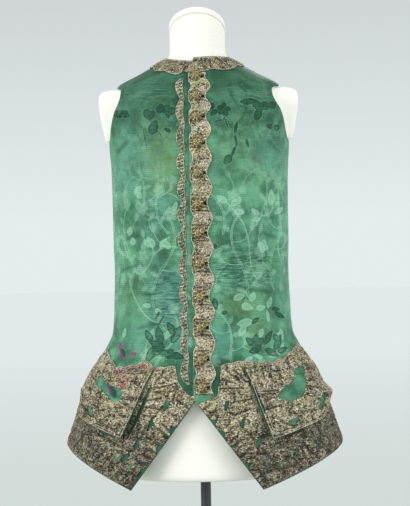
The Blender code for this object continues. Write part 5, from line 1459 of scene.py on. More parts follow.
def skirt_outline(front):
    """The edge of the skirt's lace as (x, height), with notches where its scallops meet."""
    rows, inner = front.rows, front.skirt_inner
    edge, edge_height, side, side_height, _ = front_ends(rows)[-1]
    hem = []
    for angle in np.linspace(LACE_SIDE_ANGLE, edge, 40):
        height = float(row_height(edge_height, side_height, angle, edge, side))
        hem.append((float(x_at(angle, height)) - 0.0010, height + EDGE_MARGIN + 0.0004))
    hem[-1] = (hem[-1][0] + 0.0010 + FRONT_MARGIN, hem[-1][1] - EDGE_MARGIN)
    start, end = rows[-6], rows[-1]
    cut = []
    for share in np.linspace(0.85, 0.06, 80):
        x, height = mix(start[0], end[0], share) + FRONT_MARGIN, mix(start[1], end[1], share)
        if height < inner[-1][1] - 0.004:
            notch = 0.0070 * max(bell(height - middle, 0.0048) for middle in front.notches)
            cut.append((x + notch * 0.8, height + notch * 0.6))
    side_line = [(float(x_at(LACE_SIDE_ANGLE, height)), height) for height in np.linspace(0.520, 0.390, 12)]
    return [*scalloped(front.skirt_top), *side_line, *hem, *cut, *inner[::-1]]


def edge_pleats(start, end, reach, count, seed):
    """Troughs across a band of lace, from its edge inwards, uneven in place, length and depth."""
    along = np.subtract(end, start)
    inward = np.array((-along[1], along[0])) / math.hypot(*along) * reach
    chance = hashed(np.arange(count)[:, None], np.arange(3)[None, :], seed)
    pleats = []
    for k, (place, length, depth) in enumerate(chance):
        foot = np.add(start, along * (k + 0.2 + 0.6 * place) / count)
        tip = foot + inward * (0.40 + 0.60 * length) + along * 0.06 * (place - 0.5)
        pleats.append((*foot, *tip, 0.0022 + 0.0012 * length, -0.0006 - 0.0012 * depth))
    return pleats


def lace_relief(flat, seed, x=None, creases=(), crumple=0.0008):
    """How far the lace stands up at flat points, the gaps between its curls, and its folds."""
    across, up = flat.T

    def noise(cell, step):
        return soft_noise(across, up, cell, seed + step)

    drift = 0.0022 * noise(0.008, 2)
    away, number = coils(across + drift, up, 0.0160, seed)
    rosette = (bell(away - 0.0050, 0.0014) + bell(away, 0.0019)) * (number > 0.25)
    small_away, small_number = coils(across, up + drift, 0.0076, seed + 21)
    curl = bell(small_away - 0.0024, 0.0010) * (0.35 + 0.65 * small_number)
    line = np.maximum(rosette, curl)
    rise = 0.0013 * line + crumple * (0.8 + 0.7 * noise(0.022, 4) + 0.5 * noise(0.010, 0))
    folds = crease_rise(creases, x, up, 0.3, 0.35, 0.8) if len(creases) else np.zeros(len(flat))
    patch = 0.12 * noise(0.020, 9) + 0.08 * noise(0.009, 5)
    gap = np.clip(0.80 - 0.85 * line + patch, 0, 1)
    # The folds' painted light and shade: above nought on their tops and below it in their troughs, with some
    # at random
    fold = folds / 0.0015 + 0.35 * noise(0.006, 11)
    return np.clip(rise + folds, -0.0002, 0.0034), gap, np.clip(fold, -1, 1)


def worn_gaps(openings):
    """The outlines of a lace's gaps, with worn edges up to 1 mm in or out."""
    loops = []
    for opening in openings:
        loop = gap_loop(opening)
        wear = (soft_noise(*loop.T, 0.0034, seed) for seed in (5, 6))
        loops.append(laid_out(loop + 0.0010 * line_of(*wear)))
    return loops


def lace_piece(word, node, place, flat, quads, rise, fields, finish):
    """A lace laid on its cloth. place gives points and normals of the cloth at flat points."""
    under, normals = place(flat)
    inner = under + normals * GAP
    outer = inner + normals * rise[:, None]
    for field in ("fold", "tarnish", "bare", "stain"):
        fields.setdefault(field, np.zeros(len(flat)))
    piece = shell(f"metal_{word}", outer, inner, quads, [finish], flat, fields)
    finished(piece, [node])


def cord_on(place, flat, lift, radius, spacing=0.0013):
    """A cord that lies on a cloth along a flat line, knotted every 3.6 mm."""
    run = running(np.hypot(*np.diff(flat, axis=0).T))
    places = np.linspace(0, run[-1], max(8, round(run[-1] / spacing)))
    points, normals = place(line_of(*(np.interp(places, run, column) for column in flat.T)))
    knots = radius * (1 + 0.28 * np.sin(np.arange(len(points)) * spacing * math.tau / 0.0036))
    return points + normals * (lift + radius * 0.6), normals, knots


def skirt_lace(front, look, finish, cord_finish):
    rows, top, inner = front.rows, front.skirt_top, front.skirt_inner
    hem_seed, side_seed, seed = front.skirt_seeds
    outline = laid_out(skirt_outline(front))
    _, flat, quads = cut_grid(look.mesh_pitch, None, worn_gaps(front.skirt_gaps), outline)
    x, height = x_at(flat[:, 0] / ARC, flat[:, 1]), flat[:, 1]
    creases = [*front.lace_creases, *edge_pleats(rows[-6][:2], rows[-1][:2], 0.030, 19, hem_seed)]
    creases += edge_pleats(rows[-1][:2], (0.215, rows[-1][1] + 0.068), 0.034, 15, side_seed)
    rise, gap, fold = lace_relief(flat, seed, x, creases)
    # Tarnish in random patches, and painted shade growing towards the hem: more of the tarnish colour, fewer
    # glints and more dark between the threads
    above_hem = rows[-1][1] + (rows[-1][3] - rows[-1][1]) * x / 0.25 - height
    tarnish = 0.95 * ease((above_hem + 0.120) / 0.080) + 0.25 * soft_noise(x, height, 0.03, 3)
    fields = {
        "gap": np.clip(gap + 0.16 * ease((above_hem + 0.110) / 0.06), 0, 1), "fold": fold,
        "tarnish": np.clip(tarnish, 0, 1), "bare": spots(LACE_BARE, x, height, 1.2),
        "stain": spots(front.stains, x, height),
    }
    place, word = partial(on_front, front), f"skirt_lace_{front.word}"
    lace_piece(
        word, word, place, flat, quads, 0.0007 + rise, fields, finish,
    )
    upper = np.array(scalloped(top))
    lines = [
        cord_on(place, laid_out(upper - (0, drop)), 0.0018, radius)
        for drop, radius in ((0.0010, 0.0006), (0.0046, 0.0005))
    ]
    last_x, last_height = inner[-1]
    lines.append(cord_on(place, laid_out([*inner, (last_x - 0.010, last_height - 0.005)]), 0.0018, 0.0005))
    cords(f"cord_{word}", lines, cord_finish)


def pocket_flap(front, finishes, lace_finish, cord_finish):
    """A flap and the lace on it."""
    corner_flat = laid_out(front.flap)
    front_seed, foot_seed, seed = front.flap_seeds

    def to_flat(own):
        top = mix(corner_flat[0], corner_flat[3], own[:, :1])
        foot = mix(corner_flat[1], corner_flat[2], own[:, :1])
        return mix(top, foot, own[:, 1:])

    def stands_off(own):
        """How far the flap's underside is from the silk, by shares across and down."""
        across, down = own.T
        bend = FLAP_TOP_LIFT * ease(down / 0.25)
        hang = FLAP_HEM_LIFT * ease(down) * (1 - 0.55 * ease(across / 0.7))
        corner = front.corner_lift * ease((across - 0.45) / 0.55) * ease(down / 0.3) * (1 - 0.5 * down)
        wave = 0.0012 * soft_noise(across * 0.15, down * 0.13, 0.034, front.sag_seed)
        return GAP + LACE + FLAP_SEAT + bend + hang + corner + wave * ease(down / 0.3)

    own, flat, quads = cut_grid((64, 60), to_flat)
    under, normals = on_front(front, flat)
    x = x_at(flat[:, 0] / ARC, flat[:, 1])
    fields = silk_fields(x, flat[:, 1], flat[:, 0], front.flap_silk)
    # The flap's front and foot edges are in their own shadow
    rim = np.minimum(own[:, 0], 1 - own[:, 1])
    fields["blot"] = np.maximum(fields["blot"], 0.85 * ease((0.06 - rim) / 0.03))
    silk_piece(
        f"silk_pocket_flap_{front.word}", f"pocket_flap_{front.word}",
        under + normals * (stands_off(own) + CLOTH)[:, None], normals, quads, flat, front.flap_place, fields,
        finishes, flat=(0.165, 0.135), held="hung", rests_on=[f"silk_front_{front.word}"], area=0.0160,
    )
    margin = np.array(FLAP_LACE_MARGIN)

    def drawn_in(own):
        return mix(margin, 1 - margin, own)

    own, flat, quads = cut_grid((118, 104), lambda own: to_flat(drawn_in(own)), worn_gaps(front.flap_gaps))
    x = x_at(flat[:, 0] / ARC, flat[:, 1])
    corners = front.flap
    creases = [*front.lace_creases, *edge_pleats(corners[0], corners[1], 0.026, 11, front_seed)]
    creases += edge_pleats(corners[1], corners[2], 0.024, 9, foot_seed)
    rise, gap, fold = lace_relief(flat, seed, x, creases, 0.0006)
    fields = {
        "gap": gap, "fold": fold, "stain": spots(front.stains, x, flat[:, 1]),
        "tarnish": np.clip(0.16 + 0.25 * soft_noise(x, flat[:, 1], 0.03, 6), 0, 1),
    }
    base = stands_off(drawn_in(own)) + CLOTH

    def place(places):
        points, normals = on_front(front, places)
        nearest = slice(None)
        if len(places) != len(base):
            nearest = [np.argmin(np.hypot(*(flat - spot).T)) for spot in places]
        return points + normals * base[nearest][:, None], normals

    word = f"flap_lace_{front.word}"
    lace_piece(
        word, word, place, flat, quads, 0.0007 + rise, fields, lace_finish,
    )
    # The cord follows the front edge, the foot and the outer edge: none shows along the top
    lines = []
    for by in (0.008, 0.045):
        rim = [(by, k / 12) for k in range(1, 12)] + [(mix(by, 1 - by, k / 12), 1 - by) for k in range(13)]
        rim += [(1 - by, 1 - k / 12) for k in range(1, 8)]
        lines.append(cord_on(place, to_flat(drawn_in(np.array(rim, float))), 0.0016, 0.0005, 0.0018))
    cords(f"cord_{word}", lines, cord_finish)


def button_phase(height):
    """How many buttons down a height is, as a share between neighbours."""
    first, second, *_, upper, last = BUTTON_HEIGHTS
    places = np.array((2 * first - second, *BUTTON_HEIGHTS, 2 * last - upper))
    return np.interp(-np.asarray(height, float), -places, np.arange(len(places)) - 1.0)


def lace_edges(height):
    """The middle and the two edges of the winding lace."""
    centre = -FRONT_LACE_WAVE * np.cos(math.tau * button_phase(height))
    near = np.maximum(centre - FRONT_LACE_HALF_WIDTH, -OVERLAP + 0.0008)
    return centre, near, centre + FRONT_LACE_HALF_WIDTH


def puffed(phase):
    """The lace's crown, which is highest between two buttons."""
    return FRONT_LACE_CROWN * (0.25 + 0.75 * np.sin(math.pi * phase) ** 2)


def broad_lace(finish, cord_finish):
    """The ruched lace down the left front: drawn flat at each button and puffed up between."""
    def to_flat(own):
        height = mix(FRONT_LACE_HEAD, FRONT_LACE_FOOT, own[:, 1])
        _, near, far = lace_edges(height)
        return laid_out(line_of(mix(near, far, own[:, 0]), height))

    own, flat, quads = cut_grid((30, 500), to_flat)
    height = flat[:, 1]
    x, phase = x_at(flat[:, 0] / ARC, height), button_phase(height)
    across = (own[:, 0] - 0.5) * 2
    puff = np.sin(math.pi * phase) ** 2
    relief, gap, _ = lace_relief(flat, 211, crumple=0.0005)
    wander = soft_noise(x, height, 0.012, 3)
    slant = 0.20 * np.abs(x - lace_edges(height)[0]) * np.sign(np.sin(math.tau * phase))
    pleats = np.sin(math.tau * (height + slant + 0.0012 * wander) / 0.0060)
    rise = 0.0008 + puffed(phase) * (1 - across**2)
    rise = rise + 0.8 * relief + 0.00080 * pleats * (0.30 + 0.70 * (1 - puff))
    # The buttonholes
    nearest = np.clip(np.round(phase), 0, len(BUTTON_HEIGHTS) - 1).astype(int)
    drop = height - np.array(BUTTON_HEIGHTS)[nearest]
    slit = ease((0.0022 - np.abs(drop + 0.0008)) / 0.0012) * ease((0.0175 - np.abs(x - 0.002)) / 0.003)
    slit = slit * (x > 0.001)
    # Creases just above and below the lower buttons, sunk into the lace and given painted shade
    share = phase - np.floor(phase)
    fold = np.maximum(bell(share - 0.26, 0.024), bell(share - 0.74, 0.020))
    fold = fold * ease((phase - 4.5) / 1.0) * ease((1 - np.abs(across)) / 0.2)
    rise = rise * (1 - 0.75 * slit) - 0.0012 * fold
    # Painted light and shade: the pleats' tops and the puffs are lit, the creases and the buttonholes shaded
    crest = 0.5 * pleats * (1 - 0.6 * puff) + 0.35 * (puff - 0.5) - 1.2 * fold - slit + 0.5 * wander
    fields = {"gap": np.maximum(np.clip(gap - 0.12, 0, 1), slit * 1.5), "fold": np.clip(crest, -1, 1)}
    place = partial(on_front, LEFT)
    lace_piece(
        "closing_lace_left", "front_lace_left", place, flat, quads, rise, fields, finish,
    )
    height = np.linspace(FRONT_LACE_HEAD - 0.001, FRONT_LACE_FOOT + 0.001, 700)
    _, near, far = lace_edges(height)
    ripple = 0.0005 * np.sin(math.tau * height / 0.0058)
    lines = [
        cord_on(place, laid_out(line_of(near + 0.0008, height)), 0.0014, 0.0008),
        cord_on(place, laid_out(line_of(far - 0.0008 + ripple, height)), 0.0014, 0.0009),
    ]
    # Two cords cross the lace between each two of the lower buttons
    for upper, lower in zip(BUTTON_HEIGHTS[4:], BUTTON_HEIGHTS[5:]):
        for start, end in ((0.25, 0.30), (0.76, 0.70)):
            share = np.linspace(0, 1, 24)
            level = mix(upper, lower, mix(start, end, share) + 0.05 * np.sin(math.pi * share))
            middle = lace_edges(level)[0]
            x = np.maximum(middle + mix(-0.0120, 0.0140, share), -OVERLAP + 0.002)
            lift = 0.0016 + puffed(button_phase(level)) * (1 - ((x - middle) / FRONT_LACE_HALF_WIDTH) ** 2)
            points, normals = place(laid_out(line_of(x, level)))
            lines.append((points + normals * lift[:, None], normals, 0.0005))
    cords("cord_closing_lace_left", lines, cord_finish)


def slim_lace(finish, cord_finish):
    """The narrow scalloped lace beside the closing, with a double cord at its outer edge."""
    head, foot = SLIM_LACE_HEAD, SLIM_LACE_FOOT

    def edges(height):
        bulge = np.abs(np.sin(math.pi * (height - foot) / SLIM_LACE_PITCH))
        full = 0.60 + 0.40 * ease((head - height) / 0.009) * ease((height - foot) / 0.006)
        near = SLIM_LACE_INNER + 0.35 * SLIM_LACE_SCALLOP * bulge
        return near, near + (SLIM_LACE_WIDTH + 0.65 * SLIM_LACE_SCALLOP * bulge) * full

    def to_flat(own):
        height = mix(head, foot, own[:, 1])
        near, far = edges(height)
        return laid_out(line_of(mix(near, far, own[:, 0]), height))

    own, flat, quads = cut_grid((13, 430), to_flat)
    relief, gap, _ = lace_relief(flat, 241, crumple=0.0004)
    # Bands 6.2 mm apart across the lace, given painted light and shade
    twigs = np.sin(math.tau * (flat[:, 1] + 0.004 * own[:, 0]) / 0.0062)
    fields = {
        "gap": gap, "fold": 0.6 * twigs - 0.1, "bare": np.full(len(flat), 0.6),
        "tarnish": np.clip(0.30 + 0.3 * soft_noise(*flat.T, 0.02, 8), 0, 1),
    }
    place = partial(on_front, RIGHT)
    lace_piece(
        "closing_lace_right", "front_lace_right", place, flat, quads, 0.0004 + 0.7 * relief,
        fields, finish,
    )
    height = np.linspace(head - 0.001, foot + 0.001, 640)
    near, far = edges(height)
    both = near + 0.0005, far - 0.0005
    lines = [cord_on(place, laid_out(line_of(x, height)), 0.0010, 0.0004) for x in both]
    cords("cord_closing_lace_right", lines, cord_finish)


def neck_lace(front, finish, cord_finish):
    """The lace round the neck of a front, from the closing to the shoulder seam."""
    edge_x, edge_height, _, side_height = front.rows[0]
    edge = float(angle_at(edge_x, edge_height))

    def to_flat(own):
        lines = []
        for start_x in front.neck_lace_x:
            angle = mix(float(angle_at(start_x, edge_height)), 88.6, own[:, 0])
            neck = row_height(edge_height, side_height, angle, edge, 90.0 - SHOULDER_SEAM_ANGLE)
            lines.append((angle, neck - EDGE_MARGIN))
        (top_angle, top_height), (foot_angle, foot_height) = lines
        scallop = 0.0034 * np.abs(np.sin(math.pi * 3 * own[:, 0] ** 0.8)) - 0.0010
        width = mix(NECK_LACE_FRONT, NECK_LACE_SIDE, ease(foot_angle / 90))
        foot_height = foot_height - width - scallop
        return line_of(mix(top_angle, foot_angle, own[:, 1]) * ARC, mix(top_height, foot_height, own[:, 1]))

    own, flat, quads = cut_grid((210, 26), to_flat)
    relief, gap, _ = lace_relief(flat, front.neck_seed, crumple=0.0005)
    # Rucks every 9 mm, raised and given painted light and shade
    ruck = np.sin(math.tau * (flat[:, 0] + 0.3 * flat[:, 1]) / 0.0090 + 2 * soft_noise(*flat.T, 0.02, 4))
    relief = np.maximum(relief + 0.0005 * ruck, -0.0002)
    fields = {"gap": np.clip(gap + 0.05, 0, 1), "fold": 0.40 * ruck, "tarnish": np.full(len(flat), 0.25)}
    place, word = partial(on_front, front), f"neck_lace_{front.word}"
    lace_piece(
        word, word, place, flat, quads, 0.0005 + 0.8 * relief, fields, finish,
    )
    rim = [(k / 40, 0.06) for k in range(41)] + [(0.985, k / 6) for k in range(1, 6)]
    rim += [(1 - k / 60, 0.95) for k in range(1, 60)]
    cords(f"cord_{word}", [cord_on(place, to_flat(np.array(rim, float)), 0.0014, 0.0006)], cord_finish)


def ring_of(radius, turn, height):
    """Points round the upright axis, from an angle that is nought at the front."""
    return np.stack([radius * np.sin(turn), -radius * np.cos(turn), height + 0 * turn], -1)


def thread_button(index, height, finish):
    """A domed button, its thread knotted over a mould where eight turning ribs cross eight others."""
    node = f"button_{index + 1:02d}"
    low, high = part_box(node)
    _, normals = front_points(LEFT, np.array([angle_at(BUTTON_X, height)]), np.array([height]))
    axis = Vector(normals[0])
    centre = (low + high) / 2 - axis * BUTTON_RISE * 0.46
    rings, around = 20, 64
    turn = np.linspace(0, math.tau, around, endpoint=False)
    lean = 1.36 * np.linspace(0, 1, rings)
    share = np.concatenate([[0.60, 0.90], np.cos(lean)[:-1], [0.02]])[:, None]
    level = BUTTON_RISE * np.concatenate([[0.0, 0.14], 0.30 + 0.72 * np.sin(lean / 1.36 * 1.5)[:-1], [1.02]])
    wave = np.cos(4 * turn + 6.0 * share + index) * np.cos(4 * turn - 6.0 * share + index)
    fade = ease(share / 0.35)
    bump = 0.00055 * wave * fade
    bump[:2] *= 0.3
    bump[-1] = 0.0002
    out = BUTTON_RADIUS * share + bump * share
    up = level[:, None] + bump * (1 - 0.4 * share)
    tip = Vector((0, 0, 1)).rotation_difference(axis).to_matrix()
    points = np.stack([out * np.cos(turn), out * np.sin(turn), up], -1).reshape(-1, 3)
    points = points @ np.array(tip).T + np.array(centre)
    step = np.arange(around // 2 - 1)
    cap = np.stack([step, step + 1, around - 2 - step, around - 1 - step], 1)
    count = len(share)
    quads = np.concatenate([ring_quads(count, around), cap[:, ::-1], cap + (count - 1) * around])
    flat = line_of((out * turn).ravel(), np.repeat(BUTTON_RADIUS * share, around))
    gap = np.clip(ease((0.15 - wave) / 0.7) * fade, 0, 1)
    finished(
        make_mesh(f"thread_{node}", points, quads, [finish], flat, {"gap": gap}, sharp=60), [node]
    )


def armhole_half_angle(height):
    """Half the armhole's opening at a height, in degrees, where front or back reaches further."""
    halves = []
    for rows in (LEFT_ROWS, RIGHT_ROWS, [(r[0], *r) for r in BACK_ROWS]):
        places = [(r[3], 90.0 - float(angle_at(r[2], r[3]))) for r in rows if r[2] is not None]
        places = [(SHOULDER_TIP_HEIGHT - 0.002, 1.0), *places, (ARMHOLE_FOOT_HEIGHT + 0.004, 0.0)]
        for (upper, first), (lower, second) in zip(places, places[1:]):
            if lower <= height <= upper:
                halves.append(mix(second, first, (height - lower) / (upper - lower)))
    return min(halves, default=0.0) or STUB_REST_ANGLE


def ring_angles(height):
    half = armhole_half_angle(height)
    start = 90.0 + STUB_SHARES[0] * half
    front = [start * k / FORM_STEPS for k in range(FORM_STEPS)]
    stub = [90.0 + share * half for share in STUB_SHARES]
    return np.array(front + stub + [180.0 - angle for angle in reversed(front)])


def closed_ring(half_ring):
    """The whole ring from its left half."""
    return np.concatenate([half_ring, half_ring[-2:0:-1] * np.array((-1, 1, 1))])


def torso_ring(height, stub_width=None):
    """One ring of the form, under the cloth above the waist and by its own shape below it."""
    angle = ring_angles(height)
    if height > WAIST_HEIGHT:
        level = np.full(len(angle), height)
        ring = body_points(angle, level) - body_normals(angle, level) * (CLOTH + EASE)
    else:
        turn = np.radians(angle)
        width, front, back = (curve(height) for curve in HIP_CURVES[1:])
        depth = np.where(np.cos(turn) > 0, front, back)
        ring = np.stack([width * np.sin(turn), -depth * np.cos(turn), height + 0 * turn], -1)
    if stub_width is not None:
        off_side = np.abs(angle - 90.0) / armhole_half_angle(height)
        stub = off_side < 0.78
        ring[stub, 0] = stub_width - np.where(off_side[stub] < 0.6, 0.0, STUB_CORNER)
        ring[stub, 2] = height
    return closed_ring(ring)


def neck_ring(share, reach, drop, angles=None):
    """A ring of the neck: share 0 is level with the collar, and 1 is the slanted top."""
    turn = np.radians(ring_angles(NECK_FOOT_HEIGHT) if angles is None else angles)
    x = (NECK_HALF_WIDTH - reach) * np.sin(turn)
    y = -(NECK_HALF_DEPTH - reach) * np.cos(turn)
    top = NECK_TOP_HEIGHT - NECK_TOP_SLOPE * y - drop
    return closed_ring(np.stack([x, y, mix(NECK_FOOT_HEIGHT, top, share)], -1))


def lofted(name, rings, finish, levels=0):
    """A solid through rings of equal counts, smoothed by subdivision where asked."""
    segments, count = len(rings[0]), len(rings)
    points = np.concatenate(rings)
    quads = ring_quads(count, segments)
    end = np.arange(segments)
    mesh = bpy.data.meshes.new(name)
    mesh.from_pydata(
        points.tolist(), [], [*quads.tolist(), end[::-1].tolist(), (end + (count - 1) * segments).tolist()]
    )
    a, b, c = (points[quads[segments * (count // 2)][k]] for k in range(3))
    if np.dot(np.cross(b - a, c - a), a * np.array((1, 1, 0))) < 0:
        mesh.flip_normals()
    mesh.shade_smooth()
    mesh.set_sharp_from_angle(angle=math.radians(70 if levels else 40))
    mesh.materials.append(finish)
    made = placed(name, mesh)
    if levels:
        smooth = made.modifiers.new("smooth", "SUBSURF")
        smooth.levels = smooth.render_levels = levels
    return made


def form_torso(finish):
    foot, bore = torso_ring(FORM_FOOT_HEIGHT), POLE_RADIUS + 0.0006
    turn = np.radians(ring_angles(FORM_FOOT_HEIGHT))
    rings = [
        closed_ring(ring_of(radius, turn, FORM_FOOT_HEIGHT + rise))
        for rise, radius in ((0.06, bore), (0.002, bore), (0.0, bore + 0.001))
    ]
    rings += [foot * np.array((*shares, 1.0)) for shares in ((0.6, 0.6), (0.90, 0.89), (0.955, 0.94))]
    rings += [torso_ring(*level) for level in FORM_LEVELS]
    rings += [neck_ring(share, 0.0, CAP_THICKNESS) for share in (0.0, 0.5, 0.94, 1.0)]
    rings += [neck_ring(1.0, 0.002, CAP_THICKNESS)]
    finished(lofted("covered_form_torso", rings, finish, 2), ["form_torso"])


def form_neck_cap(finish):
    """The covered disc on the slanted top of the neck."""
    angles = np.linspace(0, 180, 41)
    profile = (
        (0.0005, CAP_THICKNESS - GAP), (-0.0006, CAP_THICKNESS - 0.0006), (-CAP_LIP, CAP_THICKNESS - 0.0020),
        (-CAP_LIP, 0.0036), (-0.0006, 0.0020), (0.0004, 0.0009), (0.0020, 0.0003), (0.0045, 0.0),
    )
    rings = [neck_ring(1.0, reach, drop, angles) for reach, drop in profile]
    finished(lofted("covered_neck_disc", rings, finish), ["form_neck_cap"])


def turned(name, node, profile, finish, segments):
    """A piece of the stand, turned about the pole's axis from (radius, height) pairs."""
    turn = np.linspace(0, math.tau, segments, endpoint=False) + math.pi / 2
    rings = [ring_of(radius, turn, height) for radius, height in profile]
    finished(lofted(name, rings, finish), [node])


def rounded(x, height, radius, start, end):
    """Points round a corner of a profile, from one angle to another in degrees."""
    turns = np.radians(np.linspace(start, end, 5))
    return [(x + radius * math.cos(t), height + radius * math.sin(t)) for t in turns]


def stand(finish):
    floor_of_bore = BASE_THICKNESS * 0.5
    bore = POLE_RADIUS + GAP
    base = [
        (bore, floor_of_bore), (bore, BOSS_HEIGHT),
        *rounded(BOSS_RADIUS - 0.002, BOSS_HEIGHT - 0.002, 0.002, 90, 0),
        (BOSS_RADIUS, BASE_THICKNESS + 0.004),
        *rounded(BOSS_RADIUS + 0.004, BASE_THICKNESS + 0.004, 0.004, 180, 270),
        *rounded(BASE_RADIUS - 0.004, BASE_THICKNESS - 0.004, 0.004, 90, 0),
        (BASE_RADIUS, 0.0008), (BASE_RADIUS - 0.0008, 0.0),
    ]
    pole = [
        (POLE_RADIUS - 0.0006, floor_of_bore + GAP), (POLE_RADIUS, floor_of_bore + 0.001),
        (POLE_RADIUS, 0.16), (POLE_RADIUS, POLE_TOP),
    ]
    turned("painted_stand_base", "stand_base", base, finish, 128)
    turned("painted_stand_pole", "stand_pole", pole, finish, 64)


def soft_sun(name, direction, strength):
    """A broad light that is even over the whole floor. The direction is the one it comes from."""
    light = bpy.data.lights.new(name, "SUN")
    light.energy = strength
    light.angle = math.radians(SUN_ANGLE)
    placed(name, light).rotation_euler = Vector(direction).to_track_quat("Z", "Y").to_euler()


def found(*names):
    return [bpy.data.materials[name] for name in names]


class WAISTCOAT_OT_silk_fronts(bpy.types.Operator):
    """Build the left and right fronts of silk damask"""

    bl_idname = "waistcoat.silk_fronts"
    bl_label = "Silk fronts"

    def execute(self, context):
        look = context.scene.waistcoat_silk
        finishes = [silk_damask(look), silk_reverse(look)]
        for front in FRONTS:
            front_panel(front, look, finishes)
        return {"FINISHED"}


class WAISTCOAT_OT_silk_backs(bpy.types.Operator):
    """Build the two backs with their seam and vent"""

    bl_idname = "waistcoat.silk_backs"
    bl_label = "Silk backs"

    def execute(self, context):
        finishes = found("green silk damask", "reverse of green silk")
        for front in FRONTS:
            back_panel(front, context.scene.waistcoat_silk, finishes)
        return {"FINISHED"}


class WAISTCOAT_OT_skirt_laces(bpy.types.Operator):
    """Build the wide laces that cover the skirts"""

    bl_idname = "waistcoat.skirt_laces"
    bl_label = "Skirt laces"

    def execute(self, context):
        look = context.scene.waistcoat_lace
        finishes = metal_lace(look), lace_cord(look)
        for front in FRONTS:
            skirt_lace(front, look, *finishes)
        return {"FINISHED"}


class WAISTCOAT_OT_pocket_flaps(bpy.types.Operator):
    """Build the pocket flaps and the lace on them"""

    bl_idname = "waistcoat.pocket_flaps"
    bl_label = "Pocket flaps"

    def execute(self, context):
        for front in FRONTS:
            silk = found("green silk damask", "reverse of green silk")
            pocket_flap(front, silk, *found("tarnished metal lace", "metal edge cord"))
        return {"FINISHED"}


class WAISTCOAT_OT_closing_laces(bpy.types.Operator):
    """Build the ruched lace and the narrow lace down the closing, and those round the neck"""

    bl_idname = "waistcoat.closing_laces"
    bl_label = "Closing and neck laces"

    def execute(self, context):
        finishes = found("tarnished metal lace", "metal edge cord")
        broad_lace(*finishes)
        slim_lace(*finishes)
        for front in FRONTS:
            neck_lace(front, *finishes)
        return {"FINISHED"}


class WAISTCOAT_OT_buttons(bpy.types.Operator):
    """Build the twelve thread buttons"""

    bl_idname = "waistcoat.buttons"
    bl_label = "Buttons"

    def execute(self, context):
        finish = gilt_thread(context.scene.waistcoat_lace)
        for index, height in enumerate(BUTTON_HEIGHTS):
            thread_button(index, height, finish)
        return {"FINISHED"}


class WAISTCOAT_OT_dress_form(bpy.types.Operator):
    """Build the limbless form and the disc on its neck"""

    bl_idname = "waistcoat.dress_form"
    bl_label = "Dress form"

    def execute(self, context):
        finish = form_cover(context.scene.waistcoat_form)
        form_torso(finish)
        form_neck_cap(finish)
        return {"FINISHED"}


class WAISTCOAT_OT_stand(bpy.types.Operator):
    """Build the pole and the round base"""

    bl_idname = "waistcoat.stand"
    bl_label = "Stand"

    def execute(self, context):
        stand(painted_steel(context.scene.waistcoat_form))
        return {"FINISHED"}


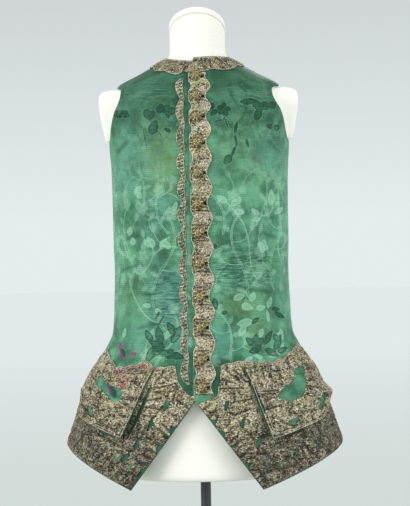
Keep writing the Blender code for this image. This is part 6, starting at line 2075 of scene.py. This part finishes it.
class WAISTCOAT_OT_studio(bpy.types.Operator):
    """Build the floor, the lights and the camera"""

    bl_idname = "waistcoat.studio"
    bl_label = "Studio"

    def execute(self, context):
        scene, look = context.scene, context.scene.waistcoat_studio
        turn = np.linspace(0, math.tau, 96, endpoint=False)
        mesh = bpy.data.meshes.new("studio_floor")
        rim = np.stack([FLOOR_RADIUS * np.cos(turn), FLOOR_RADIUS * np.sin(turn), 0 * turn], 1)
        mesh.from_pydata(rim.tolist(), [], [tuple(range(96))])
        mesh.materials.append(studio_floor(look))
        placed("studio_floor", mesh)
        world = bpy.data.worlds.new("pale studio")
        world.use_nodes = True
        tree = world.node_tree
        sky, add = tree.nodes["Background"], partial(add_node, tree)
        rise = add("SeparateXYZ", add("TexCoord", out="Generated"), out="Z")
        above = add("MapRange", rise, 0.2, 0.7)
        # The backdrop darkens a little towards the top of the picture
        dim = add("MapRange", rise, 0.02, 0.14)
        colour = layered(add, look.sky, (dim, 1.0, look.sky_dim), (above, 1.0, look.sky_above))
        tree.links.new(colour, sky.inputs["Color"])
        sky.inputs["Strength"].default_value = look.sky_strength
        scene.world = world
        for name, direction, setting, share in LIGHTS:
            soft_sun(name, direction, getattr(look, setting) * share)
        camera = placed("camera", bpy.data.cameras.new("camera"))
        camera.data.lens = CAMERA_LENS
        camera.data.sensor_width = SENSOR_WIDTH
        camera.data.clip_end = CLIP_END
        camera.location = CAMERA_PLACE
        camera.rotation_euler = (math.radians(90), math.radians(CAMERA_ROLL), 0)
        scene.camera = camera
        scene.view_settings.view_transform = "Standard"
        return {"FINISHED"}


class WAISTCOAT_PT_sidebar(bpy.types.Panel):
    """Lists the pieces and their settings in the 3D view's sidebar."""

    bl_label = "Waistcoat on dress form"
    bl_space_type = "VIEW_3D"
    bl_region_type = "UI"
    bl_category = "Waistcoat"

    def draw(self, context):
        for word, _, title in GROUPS:
            box = self.layout.box()
            box.label(text=title)
            settings = getattr(context.scene, word)
            for setting in type(settings).__annotations__:
                box.prop(settings, setting)
        for step in STEPS:
            self.layout.operator(step.bl_idname)


GROUPS = (
    ("waistcoat_silk", WaistcoatSilk, "Silk"), ("waistcoat_lace", WaistcoatLace, "Lace and buttons"),
    ("waistcoat_form", WaistcoatForm, "Form and stand"), ("waistcoat_studio", WaistcoatStudio, "Studio"),
)
# In the order in which they run: the laces follow the silk that they lie on
STEPS = (
    WAISTCOAT_OT_dress_form, WAISTCOAT_OT_stand, WAISTCOAT_OT_silk_fronts, WAISTCOAT_OT_silk_backs,
    WAISTCOAT_OT_skirt_laces, WAISTCOAT_OT_pocket_flaps, WAISTCOAT_OT_closing_laces,
    WAISTCOAT_OT_buttons, WAISTCOAT_OT_studio,
)


def register():
    for word, group, _ in GROUPS:
        bpy.utils.register_class(group)
        setattr(bpy.types.Scene, word, bpy.props.PointerProperty(type=group))
    for made in (*STEPS, WAISTCOAT_PT_sidebar):
        bpy.utils.register_class(made)


def unregister():
    for made in (WAISTCOAT_PT_sidebar, *reversed(STEPS)):
        bpy.utils.unregister_class(made)
    for word, group, _ in reversed(GROUPS):
        delattr(bpy.types.Scene, word)
        bpy.utils.unregister_class(group)


def main():
    register()
    for old in [o for o in bpy.data.objects if o.type in ("LIGHT", "CAMERA")]:
        bpy.data.objects.remove(old)
    for step in STEPS:
        group, word = step.bl_idname.split(".")
        getattr(getattr(bpy.ops, group), word)()


if __name__ == "__main__":
    main()
